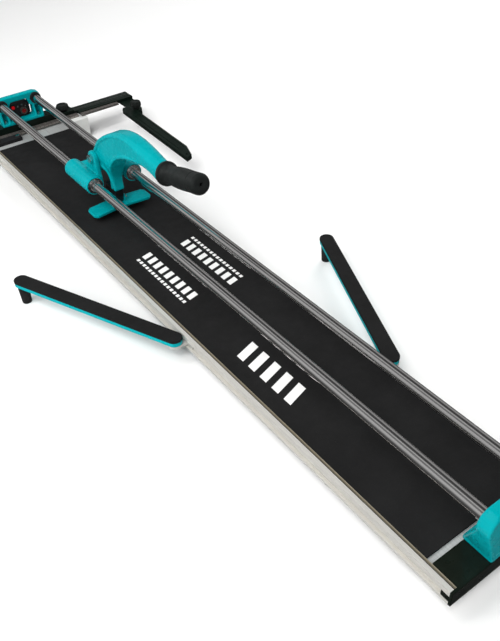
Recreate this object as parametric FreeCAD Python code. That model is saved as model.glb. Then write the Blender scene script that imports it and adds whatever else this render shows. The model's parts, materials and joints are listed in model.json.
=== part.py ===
"""Rail-guided tile cutter: 1200 mm class, one-hand lever, twin rails, laser and side fence.

Frame: +Y runs along the rails from the operator's end to the fence end, +X is to the
operator's right, +Z is up. The origin is the middle of the base's underside.
All sizes are millimetres.
"""
import FreeCAD
import Part
import math
import os

V = FreeCAD.Vector
X_AXIS = V(1, 0, 0)
Y_AXIS = V(0, 1, 0)
Z_AXIS = V(0, 0, 1)

# ---------------------------------------------------------------- driving dimensions
# Base extrusion
BASE_LENGTH = 1500.0
BASE_WIDTH = 208.0
BASE_HEIGHT = 25.0
GROUND_GAP = 25.0
DECK_PLATE = 3.0
SOLE_PLATE = 2.5
RIB_THICKNESS = 2.5
CHAMBERS = 6
SLOT_DEPTH = 6.0
SLOT_HEIGHT = 10.5
SLOT_MOUTH = 11.0
SLOT_LIP = 2.5
SLOT_CAVITY = 14.0
RIM_THICKNESS = 1.2
RIM_GROOVE = 3.2
TOP_LIP = 6.3

# Pads and breaking bar
PAD_THICKNESS = 3.0
NEAR_MARGIN = 50.0
FAR_MARGIN = 115.0
PAD_GAP = 0.3
BREAK_BAR_WIDTH = 5.0
BREAK_BAR_PROUD = 1.2

# Rails and their brackets
RAIL_DIAMETER = 18.0
RAIL_SPACING = 82.8
RAIL_HEIGHT = 68.6
RAIL_FIT = 0.05
RAIL_SOCKET = 18.0
BRACKET_TOP = 15.4
BRACKET_DEPTH = 20.0
BRACKET_TOE = 7.0
NEAR_BRACKET_FACE = 22.0
FAR_BRACKET_FACE = 45.0
NEAR_FOOT_REACH = 22.0
NEAR_FOOT_HALF = 41.0
FAR_FOOT_REACH = 9.0
FAR_FOOT_HALF = 52.0
WINDOW_HALF = 25.0
WINDOW_SILL = 9.0
FAR_WINDOW_HALF = 31.0
FAR_RIB = 5.0
FAR_RECESS_ROOF = 9.0
FAR_BOLT_INSET = 10.5
BRACKET_BOLT_X = 33.2
BRACKET_FLANGE = 6.0
BRACKET_SCREW_DIAMETER = 6.0
FAR_SCREW_GRIP = 5.0
NEAR_SCREW_GRIP = 10.0
BUMPER_LENGTH = 5.0
BUMPER_WALL = 4.2
BUMPER_GAP = 1.5

# End cap
CAP_PLATE = 4.0
FAR_CAP_PLATE = 3.0
CAP_SIDE_GAP = 1.2
CAP_BLOCK_GAP = 8.7
CAP_TONGUE = 12.0
CAP_CENTRE_HALF = 24.0
TONGUE_CLEARANCE = 0.4
CAP_ROUND = 1.5

# Stands under the base
FAR_STAND_WIDTH = 296.0
FAR_STAND_LENGTH = 88.0
NEAR_STAND_WIDTH = 168.0
NEAR_STAND_LENGTH = 40.0
NEAR_STAND_SETBACK = 25.0
STAND_PAD_DIAMETER = 22.0
STAND_PAD_THICKNESS = 3.0
STAND_PAD_INSET = 18.0
STAND_BOLT_X = 60.0
STAND_BOLT_DIAMETER = 5.0

# Carriage
CARRIAGE_LENGTH = 101.0
CARRIAGE_Y = 269.5
BARREL_DIAMETER = 36.6
BEARING_DIAMETER = 29.0
BEARING_LENGTH = 32.0
BEARING_CLEARANCE = 0.08
RETAINER_DIAMETER = 31.0
RETAINER_THICKNESS = 1.6
EAR_THICKNESS = 9.0
EAR_RADIUS = 15.0
EAR_CLEARANCE = 0.3
PIVOT_BEHIND_NEAR_END = 31.0
BRIDGE_BEHIND_PIVOT = 24.0
BRIDGE_THICKNESS = 14.0
PIVOT_ABOVE_RAIL = 41.0
PIVOT_BOLT_DIAMETER = 10.0
PIN_CLEARANCE = 0.05
RAIL_RELIEF = 1.5
NUT_HEIGHT = 7.0

# Lever
LEVER_WIDTH = 36.0
LEVER_REACH = 248.0
LEVER_RISE = 62.0
DOME_HEIGHT = 90.0
LEG_WIDTH = 20.0
LEG_DROP = 58.0
GRIP_LENGTH = 116.0
GRIP_DIAMETER = 36.0
GRIP_COLLAR_DIAMETER = 42.0
GRIP_TILT = 13.5
GRIP_CORE_DIAMETER = 20.0
GRIP_END_WALL = 14.0

# Cutting wheel and breaker foot
HOLDER_WIDTH = 16.0
WHEEL_DIAMETER = 22.0
WHEEL_THICKNESS = 2.0
WHEEL_SIDE_GAP = 0.6
WHEEL_AXLE_DIAMETER = 5.0
WHEEL_ABOVE_PAD = 1.5
WHEEL_AHEAD_OF_PIVOT = 4.0
FOOT_SPAN = 126.0
FOOT_DEPTH = 44.0
FOOT_THICKNESS = 6.0
FOOT_ABOVE_PAD = 13.0
FOOT_PIN_DIAMETER = 6.0
FOOT_PIN_AHEAD_OF_PIVOT = 32.0
FOOT_PIN_LIFT = 7.5
LUG_THICKNESS = 5.0
LUG_CLEARANCE = 0.4

# Support arms
ARM_LENGTH = 333.0
ARM_WIDTH = 26.0
ARM_PAD_THICKNESS = 4.0
ARM_CHANNEL_HEIGHT = 7.5
ARM_CHANNEL_WALL = 2.0
ARM_CLEARANCE = 1.5
ARM_ANGLE = 23.4
LEFT_ARM_Y = -182.0
RIGHT_ARM_Y = -426.0
ARM_BOLT_DIAMETER = 8.0
ARM_FOOT_DIAMETER = 20.0
ARM_BRACKET_THICKNESS = 5.0
ARM_BRACKET_LENGTH = 46.0
ARM_BOSS_DIAMETER = 18.0
FOOT_STUD_DIAMETER = 8.0

# Fence
FENCE_RAIL_WIDTH = 32.0
FENCE_RAIL_HEIGHT = 20.0
FENCE_RAIL_OVERHANG = 24.0
FENCE_CLAMP_DROP = 6.5
FENCE_CLAMP_LENGTH = 40.0
SLIDER_WIDTH = 26.0
SLIDER_HEIGHT = 7.0
SLIDER_LIFT = 1.5
SLIDER_INSERT = 100.0
SLIDER_STEP_GAP = 10.0
SLIDER_SKIRT = 13.0
SLIDE_IN = 5.0
SLIDER_REACH = 158.0
SLIDE_CLEARANCE = 0.3
SCALE_WIDTH = 15.0
SCALE_THICKNESS = 5.0
SLIDER_SCALE_WIDTH = 12.0
KNOB_DIAMETER = 32.0
KNOB_HEIGHT = 16.0
STOP_KNOB_HEIGHT = 20.0
KNOB_LIFT = 0.3
KNOB_STUD_DIAMETER = 7.8
ELBOW_LENGTH = 109.0
ELBOW_WIDTH = 36.0
ELBOW_NOSE_DIAMETER = 28.0
ELBOW_THICKNESS = 5.0
ELBOW_SHIFT = 34.0
RIVET_DIAMETER = 3.0
RIVET_GRIP = 4.0
STOP_ARM_LENGTH = 305.0
STOP_ARM_TAIL = 25.0
STOP_ARM_OFFSET = 16.4
STOP_ARM_WIDTH = 27.5
STOP_ARM_HEIGHT = 10.0
STOP_ARM_ANGLE = 2.2
STOP_KNOB_DIAMETER = 27.0

# Laser
LASER_WIDTH = 48.0
LASER_HEIGHT = 34.0
LASER_DEPTH = 20.0
LASER_BARREL_DIAMETER = 17.0
LASER_BUTTON_DIAMETER = 8.0
LASER_BUTTON_TRAVEL = 1.5

# Zero stop on the deck
STOP_BLOCK_INNER = 26.0
STOP_BLOCK_DEPTH = 24.0
STOP_SCREW_X = -34.0
STOP_SCREW_DIAMETER = 6.0

# ---------------------------------------------------------------- derived places
BASE_NEAR = -BASE_LENGTH / 2
BASE_FAR = BASE_LENGTH / 2
BASE_HALF = BASE_WIDTH / 2
BASE_BOTTOM = 0.0
GROUND = BASE_BOTTOM - GROUND_GAP
STAND_FLOOR = GROUND + STAND_PAD_THICKNESS
PAD_TOP = BASE_BOTTOM + BASE_HEIGHT
DECK_TOP = PAD_TOP - PAD_THICKNESS
PAD_NEAR = BASE_NEAR + NEAR_MARGIN
PAD_FAR = BASE_FAR - FAR_MARGIN
LIP_INNER = BASE_HALF - TOP_LIP
RIM_OUTER = LIP_INNER - RIM_GROOVE
RIM_INNER = RIM_OUTER - RIM_THICKNESS
SLOT_MID = BASE_BOTTOM + SLOT_HEIGHT
RAIL_X = RAIL_SPACING / 2
RAIL_RADIUS = RAIL_DIAMETER / 2
RAIL_Z = PAD_TOP + RAIL_HEIGHT
NEAR_FACE_Y = BASE_NEAR + NEAR_BRACKET_FACE
FAR_FACE_Y = BASE_FAR - FAR_BRACKET_FACE
FENCE_TOP = PAD_TOP + FENCE_RAIL_HEIGHT
FENCE_Y = FAR_FACE_Y + FENCE_RAIL_WIDTH / 2 - FAR_FOOT_REACH
CARRIAGE_NEAR = CARRIAGE_Y - CARRIAGE_LENGTH / 2
CARRIAGE_FAR = CARRIAGE_Y + CARRIAGE_LENGTH / 2
PIVOT_Y = CARRIAGE_NEAR + PIVOT_BEHIND_NEAR_END
PIVOT_Z = RAIL_Z + PIVOT_ABOVE_RAIL
EAR_INNER = LEVER_WIDTH / 2 + EAR_CLEARANCE
EAR_OUTER = EAR_INNER + EAR_THICKNESS
LEG_SEAT = PIVOT_Z - LEG_DROP
WHEEL_Y = PIVOT_Y - WHEEL_AHEAD_OF_PIVOT
WHEEL_Z = PAD_TOP + WHEEL_ABOVE_PAD + WHEEL_DIAMETER / 2
FOOT_PIN_Y = PIVOT_Y - FOOT_PIN_AHEAD_OF_PIVOT
FOOT_PLATE_TOP = PAD_TOP + FOOT_ABOVE_PAD + FOOT_THICKNESS
FOOT_PIN_Z = FOOT_PLATE_TOP + FOOT_PIN_LIFT
LUG_INNER = HOLDER_WIDTH / 2 + LUG_CLEARANCE
LUG_OUTER = LUG_INNER + LUG_THICKNESS
BEARING_SEAT = BEARING_LENGTH + RETAINER_THICKNESS
NEAR_STAND_Y = BASE_NEAR + NEAR_STAND_SETBACK + NEAR_STAND_LENGTH / 2
FAR_STAND_NEAR = BASE_FAR - FAR_STAND_LENGTH
FAR_STAND_Y = BASE_FAR - FAR_STAND_LENGTH / 2
ARM_PIVOT_X = BASE_HALF + ARM_WIDTH / 2 + ARM_CLEARANCE
ARM_TOP = PAD_TOP
ARM_CHANNEL_TOP = ARM_TOP - ARM_PAD_THICKNESS
ARM_CHANNEL_BOTTOM = ARM_CHANNEL_TOP - ARM_CHANNEL_HEIGHT
SLIDER_Z = PAD_TOP + SLIDER_LIFT
SLIDER_TOP = SLIDER_Z + SLIDER_HEIGHT
SLIDER_BACK = FENCE_Y + SLIDER_WIDTH / 2
SLIDER_FRONT = FENCE_Y - SLIDER_WIDTH / 2
FENCE_END = BASE_HALF + FENCE_RAIL_OVERHANG
FENCE_CLAMP_TOP = FENCE_TOP - FENCE_CLAMP_DROP
FENCE_FRONT = FENCE_Y - FENCE_RAIL_WIDTH / 2
SLIDER_END = FENCE_END + SLIDER_REACH
SLIDER_STEP = FENCE_END + SLIDER_STEP_GAP
SLIDER_START = FENCE_END - SLIDER_INSERT
KNOB_X = FENCE_END - KNOB_DIAMETER * 0.7
ELBOW_Z = SLIDER_Z - ELBOW_THICKNESS
STOP_PIVOT_X = SLIDER_END - ELBOW_SHIFT
STOP_PIVOT_Y = FENCE_Y - ELBOW_LENGTH
STOP_ARM_BOTTOM = SLIDER_Z + SLIDE_CLEARANCE
STOP_ARM_TOP = STOP_ARM_BOTTOM + STOP_ARM_HEIGHT
LASER_Y = FAR_FACE_Y + 8.0
LASER_Z = FENCE_TOP + WINDOW_SILL
LENS_CENTRE = V(9, LASER_Y, LASER_Z + 14)
BUTTON_CENTRE = V(-14, LASER_Y, LASER_Z + LASER_HEIGHT - 8)


# ---------------------------------------------------------------- shape helpers
def box(x0, x1, y0, y1, z0, z1):
    """Box between two corners."""
    return Part.makeBox(x1 - x0, y1 - y0, z1 - z0, V(x0, y0, z0))


def rod(radius, start, end):
    """Cylinder from one centre point to another."""
    span = end.sub(start)
    return Part.makeCylinder(radius, span.Length, start, span)


def cone(radius_start, radius_end, start, end):
    """Truncated cone from one centre point to another."""
    span = end.sub(start)
    return Part.makeCone(radius_start, radius_end, span.Length, start, span)


def prism(points, travel):
    """Closed polygon swept along a vector."""
    wire = Part.makePolygon(points + [points[0]])
    return Part.Face(wire).extrude(travel)


def prism_x(points, x0, x1):
    """Outline in Y and Z, swept from x0 to x1."""
    return prism([V(x0, y, z) for y, z in points], V(x1 - x0, 0, 0))


def prism_y(points, y0, y1):
    """Outline in X and Z, swept from y0 to y1."""
    return prism([V(x, y0, z) for x, z in points], V(0, y1 - y0, 0))


def prism_z(points, z0, z1):
    """Outline in X and Y, swept from z0 to z1."""
    return prism([V(x, y, z0) for x, y in points], V(0, 0, z1 - z0))


def curve_plate(nodes, x0, x1):
    """Closed smooth outline in Y and Z through its nodes, swept from x0 to x1."""
    curve = Part.BSplineCurve()
    curve.interpolate([V(x0, y, z) for y, z in nodes], PeriodicFlag=True)
    face = Part.Face(Part.Wire(curve.toShape()))
    return face.extrude(V(x1 - x0, 0, 0))


def side_span(side, near, far):
    """X limits of a piece on one side, from two distances off the centreline."""
    return sorted((side * near, side * far))


def upright(radius, x, y, z0, z1):
    """Vertical cylinder between two heights."""
    return rod(radius, V(x, y, z0), V(x, y, z1))


def slot_bar(side, inner, outer, height, y0, y1):
    """Bar inside one side slot, at mid height of the slot."""
    x = side_span(side, inner, outer)
    return box(x[0], x[1], y0, y1, SLOT_MID - height / 2, SLOT_MID + height / 2)


def rounded_bar(cx, cy, length, width, z0, z1):
    """Flat bar with two round ends, running from (cx, cy) in +Y."""
    radius = width / 2
    bar = box(cx - radius, cx + radius, cy, cy + length, z0, z1)
    ends = [rod(radius, V(cx, y, z0), V(cx, y, z1)) for y in (cy, cy + length)]
    return bar.multiFuse(ends).removeSplitter()


def mirror_x(shape):
    """Mirror image in the plane X = 0."""
    return shape.mirror(V(0, 0, 0), X_AXIS)


def hex_prism(across_flats, start, end):
    """Hexagonal bar between two points along X or Z."""
    radius = across_flats / math.sqrt(3)
    along_x = abs(end.x - start.x) > abs(end.z - start.z)
    corners = []
    for step in range(6):
        a = math.radians(60 * step)
        u = radius * math.cos(a)
        w = radius * math.sin(a)
        offset = V(0, u, w) if along_x else V(u, w, 0)
        corners.append(start.add(offset))
    return prism(corners, end.sub(start))


def fillet_where(shape, radius, test):
    """Round the edges whose middle point passes the test."""
    edges = [e for e in shape.Edges if test(e)]
    return shape.makeFillet(radius, edges) if edges else shape


def edge_mid(edge):
    """Middle point of an edge."""
    first, last = edge.ParameterRange
    return edge.valueAt((first + last) / 2)


def is_line_along(edge, axis):
    """True for a straight edge parallel to the axis."""
    if edge.Curve.TypeId != "Part::GeomLine":
        return False
    return abs(abs(edge.tangentAt(edge.FirstParameter).dot(axis)) - 1) < 1e-6


def turn(shape, centre, axis, degrees):
    """Copy of a shape turned about an axis through a point."""
    turned = shape.copy()
    turned.rotate(centre, axis, degrees)
    return turned


def save(name, *solids):
    """Write one node as a STEP file."""
    shape = solids[0] if len(solids) == 1 else Part.makeCompound(list(solids))
    shape.exportStep("parts/" + name + ".step")


# ---------------------------------------------------------------- base
def base_section_cuts():
    """Side T-slots, rim grooves and hollow chambers of the base, as cutting solids."""
    cuts = []
    mouth = (SLOT_MID - SLOT_MOUTH / 2, SLOT_MID + SLOT_MOUTH / 2)
    cavity = (SLOT_MID - SLOT_CAVITY / 2, SLOT_MID + SLOT_CAVITY / 2)
    for side in (-1, 1):
        outer = side * (BASE_HALF + 1)
        lip = side * (BASE_HALF - SLOT_LIP)
        inner = side * (BASE_HALF - SLOT_DEPTH)
        cuts.append(box(min(lip, outer), max(lip, outer), BASE_NEAR, BASE_FAR, *mouth))
        cuts.append(box(min(inner, lip), max(inner, lip), BASE_NEAR, BASE_FAR, *cavity))
        groove = sorted((side * RIM_OUTER, side * LIP_INNER))
        cuts.append(box(groove[0], groove[1], BASE_NEAR, BASE_FAR, DECK_TOP - 1, PAD_TOP))
    wall = BASE_HALF - SLOT_DEPTH - RIB_THICKNESS
    pitch = 2 * wall / CHAMBERS
    for number in range(CHAMBERS):
        left = -wall + pitch * number + RIB_THICKNESS / 2
        right = left + pitch - RIB_THICKNESS
        roof = DECK_TOP - DECK_PLATE
        cuts.append(box(left, right, BASE_NEAR, BASE_FAR, BASE_BOTTOM + SOLE_PLATE, roof))
    return cuts


def base_extrusion():
    """Long hollow deck with a rim, side T-slots and a recess for the pads."""
    near = BASE_NEAR + CAP_PLATE
    far = BASE_FAR - FAR_CAP_PLATE
    body = box(-BASE_HALF, BASE_HALF, near, far, BASE_BOTTOM, PAD_TOP)
    recess = box(-RIM_INNER, RIM_INNER, near, far, DECK_TOP, PAD_TOP)
    body = body.cut([recess] + base_section_cuts())
    return body.cut(stand_bolts() + near_bolt_holes()).removeSplitter()


def pads():
    """Two rubber work pads, one each side of the breaking bar."""
    inner = BREAK_BAR_WIDTH / 2 + PAD_GAP
    outer = RIM_INNER - PAD_GAP
    right = box(inner, outer, PAD_NEAR, PAD_FAR, DECK_TOP, PAD_TOP)
    right = fillet_where(right, 0.6, lambda e: edge_mid(e).z > PAD_TOP - 0.01)
    return mirror_x(right), right


def break_bar():
    """Steel ridge on the centreline that the tile snaps over."""
    half = BREAK_BAR_WIDTH / 2
    top = PAD_TOP + BREAK_BAR_PROUD
    bar = box(-half, half, PAD_NEAR, PAD_FAR, DECK_TOP, top)
    return fillet_where(bar, half * 0.6, lambda e: is_line_along(e, Y_AXIS) and edge_mid(e).z > PAD_TOP)


# ---------------------------------------------------------------- end cap and stands
def near_end_cap():
    """Moulded cap: a front plate, two top blocks and tongues in the side slots."""
    plate_back = BASE_NEAR + CAP_PLATE
    block_far = PAD_NEAR - CAP_BLOCK_GAP
    plate = box(-BASE_HALF, BASE_HALF, BASE_NEAR, plate_back, BASE_BOTTOM, PAD_TOP)
    gap = TONGUE_CLEARANCE
    lip = BASE_HALF - SLOT_LIP - gap
    tip = plate_back + CAP_TONGUE
    pieces = []
    for side in (-1, 1):
        x = side_span(side, CAP_CENTRE_HALF, RIM_INNER - CAP_SIDE_GAP)
        pieces.append(box(x[0], x[1], plate_back, block_far, DECK_TOP, PAD_TOP))
        inner = BASE_HALF - SLOT_DEPTH + gap
        pieces.append(slot_bar(side, inner, lip, SLOT_CAVITY - 2 * gap, plate_back, tip))
        pieces.append(slot_bar(side, lip, BASE_HALF - gap, SLOT_MOUTH - 2 * gap, plate_back, tip))
    cap = plate.multiFuse(pieces).removeSplitter()
    cap = cap.cut(near_bolt_holes())
    return fillet_where(cap, CAP_ROUND, lambda e: abs(edge_mid(e).y - BASE_NEAR) < 0.01)


def far_end_cap():
    """Flat cover over the open far end of the extrusion."""
    return box(-BASE_HALF, BASE_HALF, BASE_FAR - FAR_CAP_PLATE, BASE_FAR, BASE_BOTTOM, PAD_TOP)


def near_bolt_spots():
    """Places of the two screws that hold the near bracket."""
    y = NEAR_FACE_Y + NEAR_FOOT_REACH * 0.55
    return [V(side * BRACKET_BOLT_X, y, PAD_TOP) for side in (-1, 1)]


def near_bolt_holes():
    """Clearance holes for the near bracket's screws."""
    radius = BRACKET_SCREW_DIAMETER / 2
    return [rod(radius, s.sub(V(0, 0, NEAR_SCREW_GRIP)), s.add(V(0, 0, 1))) for s in near_bolt_spots()]


def far_stand():
    """Wide end stand: a bar under the base with a shoulder block each side of it."""
    half = FAR_STAND_WIDTH / 2
    foot = box(-half, half, FAR_STAND_NEAR, BASE_FAR, STAND_FLOOR, BASE_BOTTOM)
    shoulders = []
    for side in (-1, 1):
        x = sorted((side * BASE_HALF, side * half))
        shoulders.append(box(x[0], x[1], FAR_STAND_NEAR, BASE_FAR, BASE_BOTTOM, PAD_TOP))
    stand = foot.multiFuse(shoulders).removeSplitter()
    stand = fillet_where(stand, 4.0, lambda e: is_line_along(e, Z_AXIS) and abs(edge_mid(e).x) > half - 1)
    return stand.cut(stand_bolts()).removeSplitter()


def near_stand():
    """Cross bar under the near end of the base."""
    half = NEAR_STAND_WIDTH / 2
    y0 = NEAR_STAND_Y - NEAR_STAND_LENGTH / 2
    stand = box(-half, half, y0, y0 + NEAR_STAND_LENGTH, STAND_FLOOR, BASE_BOTTOM)
    stand = fillet_where(stand, 4.0, lambda e: is_line_along(e, Z_AXIS))
    return stand.cut(stand_bolts()).removeSplitter()


def stand_pads():
    """Four rubber discs under the two stands."""
    discs = []
    for y, width in ((NEAR_STAND_Y, NEAR_STAND_WIDTH), (FAR_STAND_Y, FAR_STAND_WIDTH)):
        x = width / 2 - STAND_PAD_INSET
        for side in (-1, 1):
            discs.append(rod(STAND_PAD_DIAMETER / 2, V(side * x, y, GROUND), V(side * x, y, STAND_FLOOR)))
    return discs


def stand_bolts():
    """Countersunk screws from each stand into the base."""
    screws = []
    for y in (NEAR_STAND_Y, FAR_STAND_Y):
        for side in (-1, 1):
            foot = V(side * STAND_BOLT_X, y, STAND_FLOOR)
            screws.append(rod(STAND_BOLT_DIAMETER / 2, foot, V(foot.x, y, BASE_BOTTOM + SOLE_PLATE)))
    return screws


# ---------------------------------------------------------------- rails and brackets
def bracket_front(seat_z, foot_half):
    """Front outline of a rail bracket: splayed legs up to two bevelled sleeves."""
    sleeve = BRACKET_TOP
    top = RAIL_Z + sleeve
    outer = RAIL_X + sleeve
    bevel = sleeve * 0.3
    right = [
        (foot_half, seat_z), (foot_half, seat_z + BRACKET_TOE), (outer, RAIL_Z - sleeve * 0.5),
        (outer, RAIL_Z), (outer - bevel, top - bevel), (RAIL_X, top),
    ]
    return right + [(-x, z) for x, z in reversed(right)]


def bracket_side(face_y, into, seat_z, reach):
    """Side outline of a rail bracket, with a toe towards the middle of the base."""
    top = RAIL_Z + BRACKET_TOP
    back = face_y + into * BRACKET_DEPTH
    toe = face_y - into * reach
    slope_top = RAIL_Z - RAIL_RADIUS - BUMPER_WALL - BUMPER_GAP
    return [
        (toe, seat_z), (toe, seat_z + 6), (face_y, slope_top), (face_y, top),
        (back - into * 4, top), (back, top - 4), (back + into * 2, seat_z + 6), (back + into * 2, seat_z),
    ]


def bracket(face_y, into, seat_z, reach, foot_half):
    """Cast rail bracket: two sleeves on splayed legs, joined by a bridge and a sill.

    face_y is the plane where the rails enter, and into is +1 or -1, the way from that
    face to the outer end of the base.
    """
    span = sorted((face_y - into * (reach + 1), face_y + into * (BRACKET_DEPTH + 8)))
    outer = RAIL_X + BRACKET_TOP + 1
    body = prism_y(bracket_front(seat_z, foot_half), span[0], span[1])
    body = body.common(prism_x(bracket_side(face_y, into, seat_z, reach), -outer, outer))
    spring = RAIL_Z - 2 - WINDOW_HALF * 0.5
    window = box(-WINDOW_HALF, WINDOW_HALF, span[0], span[1], seat_z + WINDOW_SILL, spring)
    arch = rod(WINDOW_HALF, V(0, span[0], spring), V(0, span[1], spring))
    arch = arch.common(box(-WINDOW_HALF, WINDOW_HALF, span[0], span[1], seat_z + WINDOW_SILL, RAIL_Z + 2))
    cuts = [window, arch]
    for x in (-RAIL_X, RAIL_X):
        mouth = V(x, face_y - into, RAIL_Z)
        cuts.append(rod(RAIL_RADIUS + RAIL_FIT, mouth, V(x, face_y + into * RAIL_SOCKET, RAIL_Z)))
    return body.cut(cuts).removeSplitter()


def bolt_pockets(spots, height):
    """Screw head pockets of one height, and through holes, for a bracket."""
    tools = []
    for spot in spots:
        flange = spot.add(V(0, 0, BRACKET_FLANGE))
        tools.append(rod(BRACKET_SCREW_DIAMETER * 0.93, flange, flange.add(V(0, 0, height))))
        tools.append(rod(BRACKET_SCREW_DIAMETER / 2 + 0.2, spot.sub(V(0, 0, 1)), flange.add(V(0, 0, 1))))
    return tools


def near_rail_bracket():
    """Bracket at the operator's end, standing on the end cap."""
    body = bracket(NEAR_FACE_Y, -1, PAD_TOP, NEAR_FOOT_REACH, NEAR_FOOT_HALF)
    return body.cut(bolt_pockets(near_bolt_spots(), RAIL_HEIGHT * 0.58))


def far_bolt_spots():
    """Places of the two screws that hold the far bracket."""
    y = FAR_FACE_Y + 4.0
    return [V(side * (FAR_FOOT_HALF - FAR_BOLT_INSET), y, FENCE_TOP) for side in (-1, 1)]


def far_leg_recess(side):
    """Hollow in the front of one leg of the far bracket, with the screw at its foot."""
    foot = FENCE_TOP + BRACKET_FLANGE
    roof = RAIL_Z - RAIL_RADIUS - FAR_RECESS_ROOF
    inner = side * (FAR_WINDOW_HALF + FAR_RIB)
    outer = side * (FAR_FOOT_HALF - FAR_RIB)
    corners = [(inner, foot), (outer, foot), (side * (RAIL_X + FAR_RIB), roof), (inner, roof)]
    return prism_y(corners, FAR_FACE_Y - FAR_FOOT_REACH - 1, FAR_FACE_Y + BRACKET_DEPTH * 0.6)


def far_rail_bracket():
    """Bracket at the fence end, standing on the fence rail, with hollow legs."""
    body = bracket(FAR_FACE_Y, 1, FENCE_TOP, FAR_FOOT_REACH, FAR_FOOT_HALF)
    reach = (FAR_FACE_Y - FAR_FOOT_REACH - 1, FAR_FACE_Y + BRACKET_DEPTH + 8)
    sill = FENCE_TOP + WINDOW_SILL
    cuts = [box(-FAR_WINDOW_HALF, FAR_WINDOW_HALF, *reach, sill, RAIL_Z - BRACKET_TOP)]
    cuts += bolt_pockets(far_bolt_spots(), BRACKET_FLANGE)
    cuts += [far_leg_recess(side) for side in (-1, 1)]
    return body.cut(cuts).removeSplitter()


def socket_screw(spot, length):
    """Cap screw standing on a bracket's flange, with a hexagon socket."""
    flange = spot.add(V(0, 0, BRACKET_FLANGE))
    size = BRACKET_SCREW_DIAMETER
    head = rod(size * 0.8, flange, flange.add(V(0, 0, size)))
    shank = rod(size / 2, spot.sub(V(0, 0, length)), flange)
    socket = hex_prism(size * 0.8, flange.add(V(0, 0, size * 0.5)), flange.add(V(0, 0, size * 1.1)))
    return head.fuse(shank).cut(socket).removeSplitter()


def rails():
    """Two polished guide rods."""
    y0 = NEAR_FACE_Y - RAIL_SOCKET
    y1 = FAR_FACE_Y + RAIL_SOCKET
    return [rod(RAIL_RADIUS, V(x, y0, RAIL_Z), V(x, y1, RAIL_Z)) for x in (-RAIL_X, RAIL_X)]


def rail_bumpers():
    """Rubber rings on the rails against the far bracket."""
    start = FAR_FACE_Y - BUMPER_LENGTH
    outer = RAIL_RADIUS + BUMPER_WALL
    inner = RAIL_RADIUS + RAIL_FIT
    return [tube_y(x, start, BUMPER_LENGTH, outer, inner) for x in (-RAIL_X, RAIL_X)]


# ---------------------------------------------------------------- carriage
def carriage_body():
    """Casting with two bearing barrels, a bridge behind the lever and two pivot ears."""
    low = RAIL_Z - BRIDGE_THICKNESS * 0.3
    high = low + BRIDGE_THICKNESS
    bridge_near = PIVOT_Y + BRIDGE_BEHIND_PIVOT
    bridge_far = CARRIAGE_FAR - 6
    parts = [box(-RAIL_X, RAIL_X, bridge_near, bridge_far, low, high)]
    for x in (-RAIL_X, RAIL_X):
        parts.append(rod(BARREL_DIAMETER / 2, V(x, CARRIAGE_NEAR, RAIL_Z), V(x, CARRIAGE_FAR, RAIL_Z)))
    web = [
        (PIVOT_Y - EAR_RADIUS, PIVOT_Z), (PIVOT_Y - EAR_RADIUS - 4, low),
        (bridge_near + 12, low), (bridge_near + 12, high), (PIVOT_Y + EAR_RADIUS, PIVOT_Z),
    ]
    for side in (-1, 1):
        x = sorted((side * EAR_INNER, side * EAR_OUTER))
        parts.append(rod(EAR_RADIUS, V(x[0], PIVOT_Y, PIVOT_Z), V(x[1], PIVOT_Y, PIVOT_Z)))
        parts.append(prism_x(web, x[0], x[1]))
        x = sorted((side * EAR_INNER, side * RAIL_X))
        parts.append(box(x[0], x[1], PIVOT_Y - EAR_RADIUS - 4, bridge_near + 12, low, high))
    body = parts[0].multiFuse(parts[1:])
    return body.cut(carriage_bores()).removeSplitter()


def carriage_bores():
    """Bearing seats, ring recesses, rail relief and pivot hole of the carriage."""
    bores = []
    for x in (-RAIL_X, RAIL_X):
        for end, way in ((CARRIAGE_NEAR, 1), (CARRIAGE_FAR, -1)):
            mouth = V(x, end, RAIL_Z)
            bores.append(rod(BEARING_DIAMETER / 2, mouth, mouth.add(V(0, way * BEARING_SEAT, 0))))
            bores.append(rod(RETAINER_DIAMETER / 2, mouth, mouth.add(V(0, way * RETAINER_THICKNESS, 0))))
        relief = RAIL_RADIUS + RAIL_RELIEF
        bores.append(rod(relief, V(x, CARRIAGE_NEAR, RAIL_Z), V(x, CARRIAGE_FAR, RAIL_Z)))
    reach = EAR_OUTER + 1
    radius = PIVOT_BOLT_DIAMETER / 2
    bores.append(rod(radius, V(-reach, PIVOT_Y, PIVOT_Z), V(reach, PIVOT_Y, PIVOT_Z)))
    return bores


def bearing_places():
    """Near face of each linear bearing, with the way it faces out."""
    places = []
    for x in (-RAIL_X, RAIL_X):
        places.append((x, CARRIAGE_NEAR + RETAINER_THICKNESS, -1))
        places.append((x, CARRIAGE_FAR - RETAINER_THICKNESS - BEARING_LENGTH, 1))
    return places


def tube_y(x, y0, length, outer, inner):
    """Tube along Y at rail height."""
    start = V(x, y0, RAIL_Z)
    end = V(x, y0 + length, RAIL_Z)
    return rod(outer, start, end).cut(rod(inner, start, end))


def linear_bearings():
    """Four ball bushings pressed into the barrels."""
    bore = RAIL_RADIUS + BEARING_CLEARANCE
    return [tube_y(x, y, BEARING_LENGTH, BEARING_DIAMETER / 2, bore) for x, y, _ in bearing_places()]


def retaining_rings():
    """Four flat rings that hold the bushings in."""
    rings = []
    for x, y, way in bearing_places():
        start = y - RETAINER_THICKNESS if way < 0 else y + BEARING_LENGTH
        rings.append(tube_y(x, start, RETAINER_THICKNESS, RETAINER_DIAMETER / 2, RAIL_RADIUS + RAIL_RELIEF))
    return rings


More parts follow.
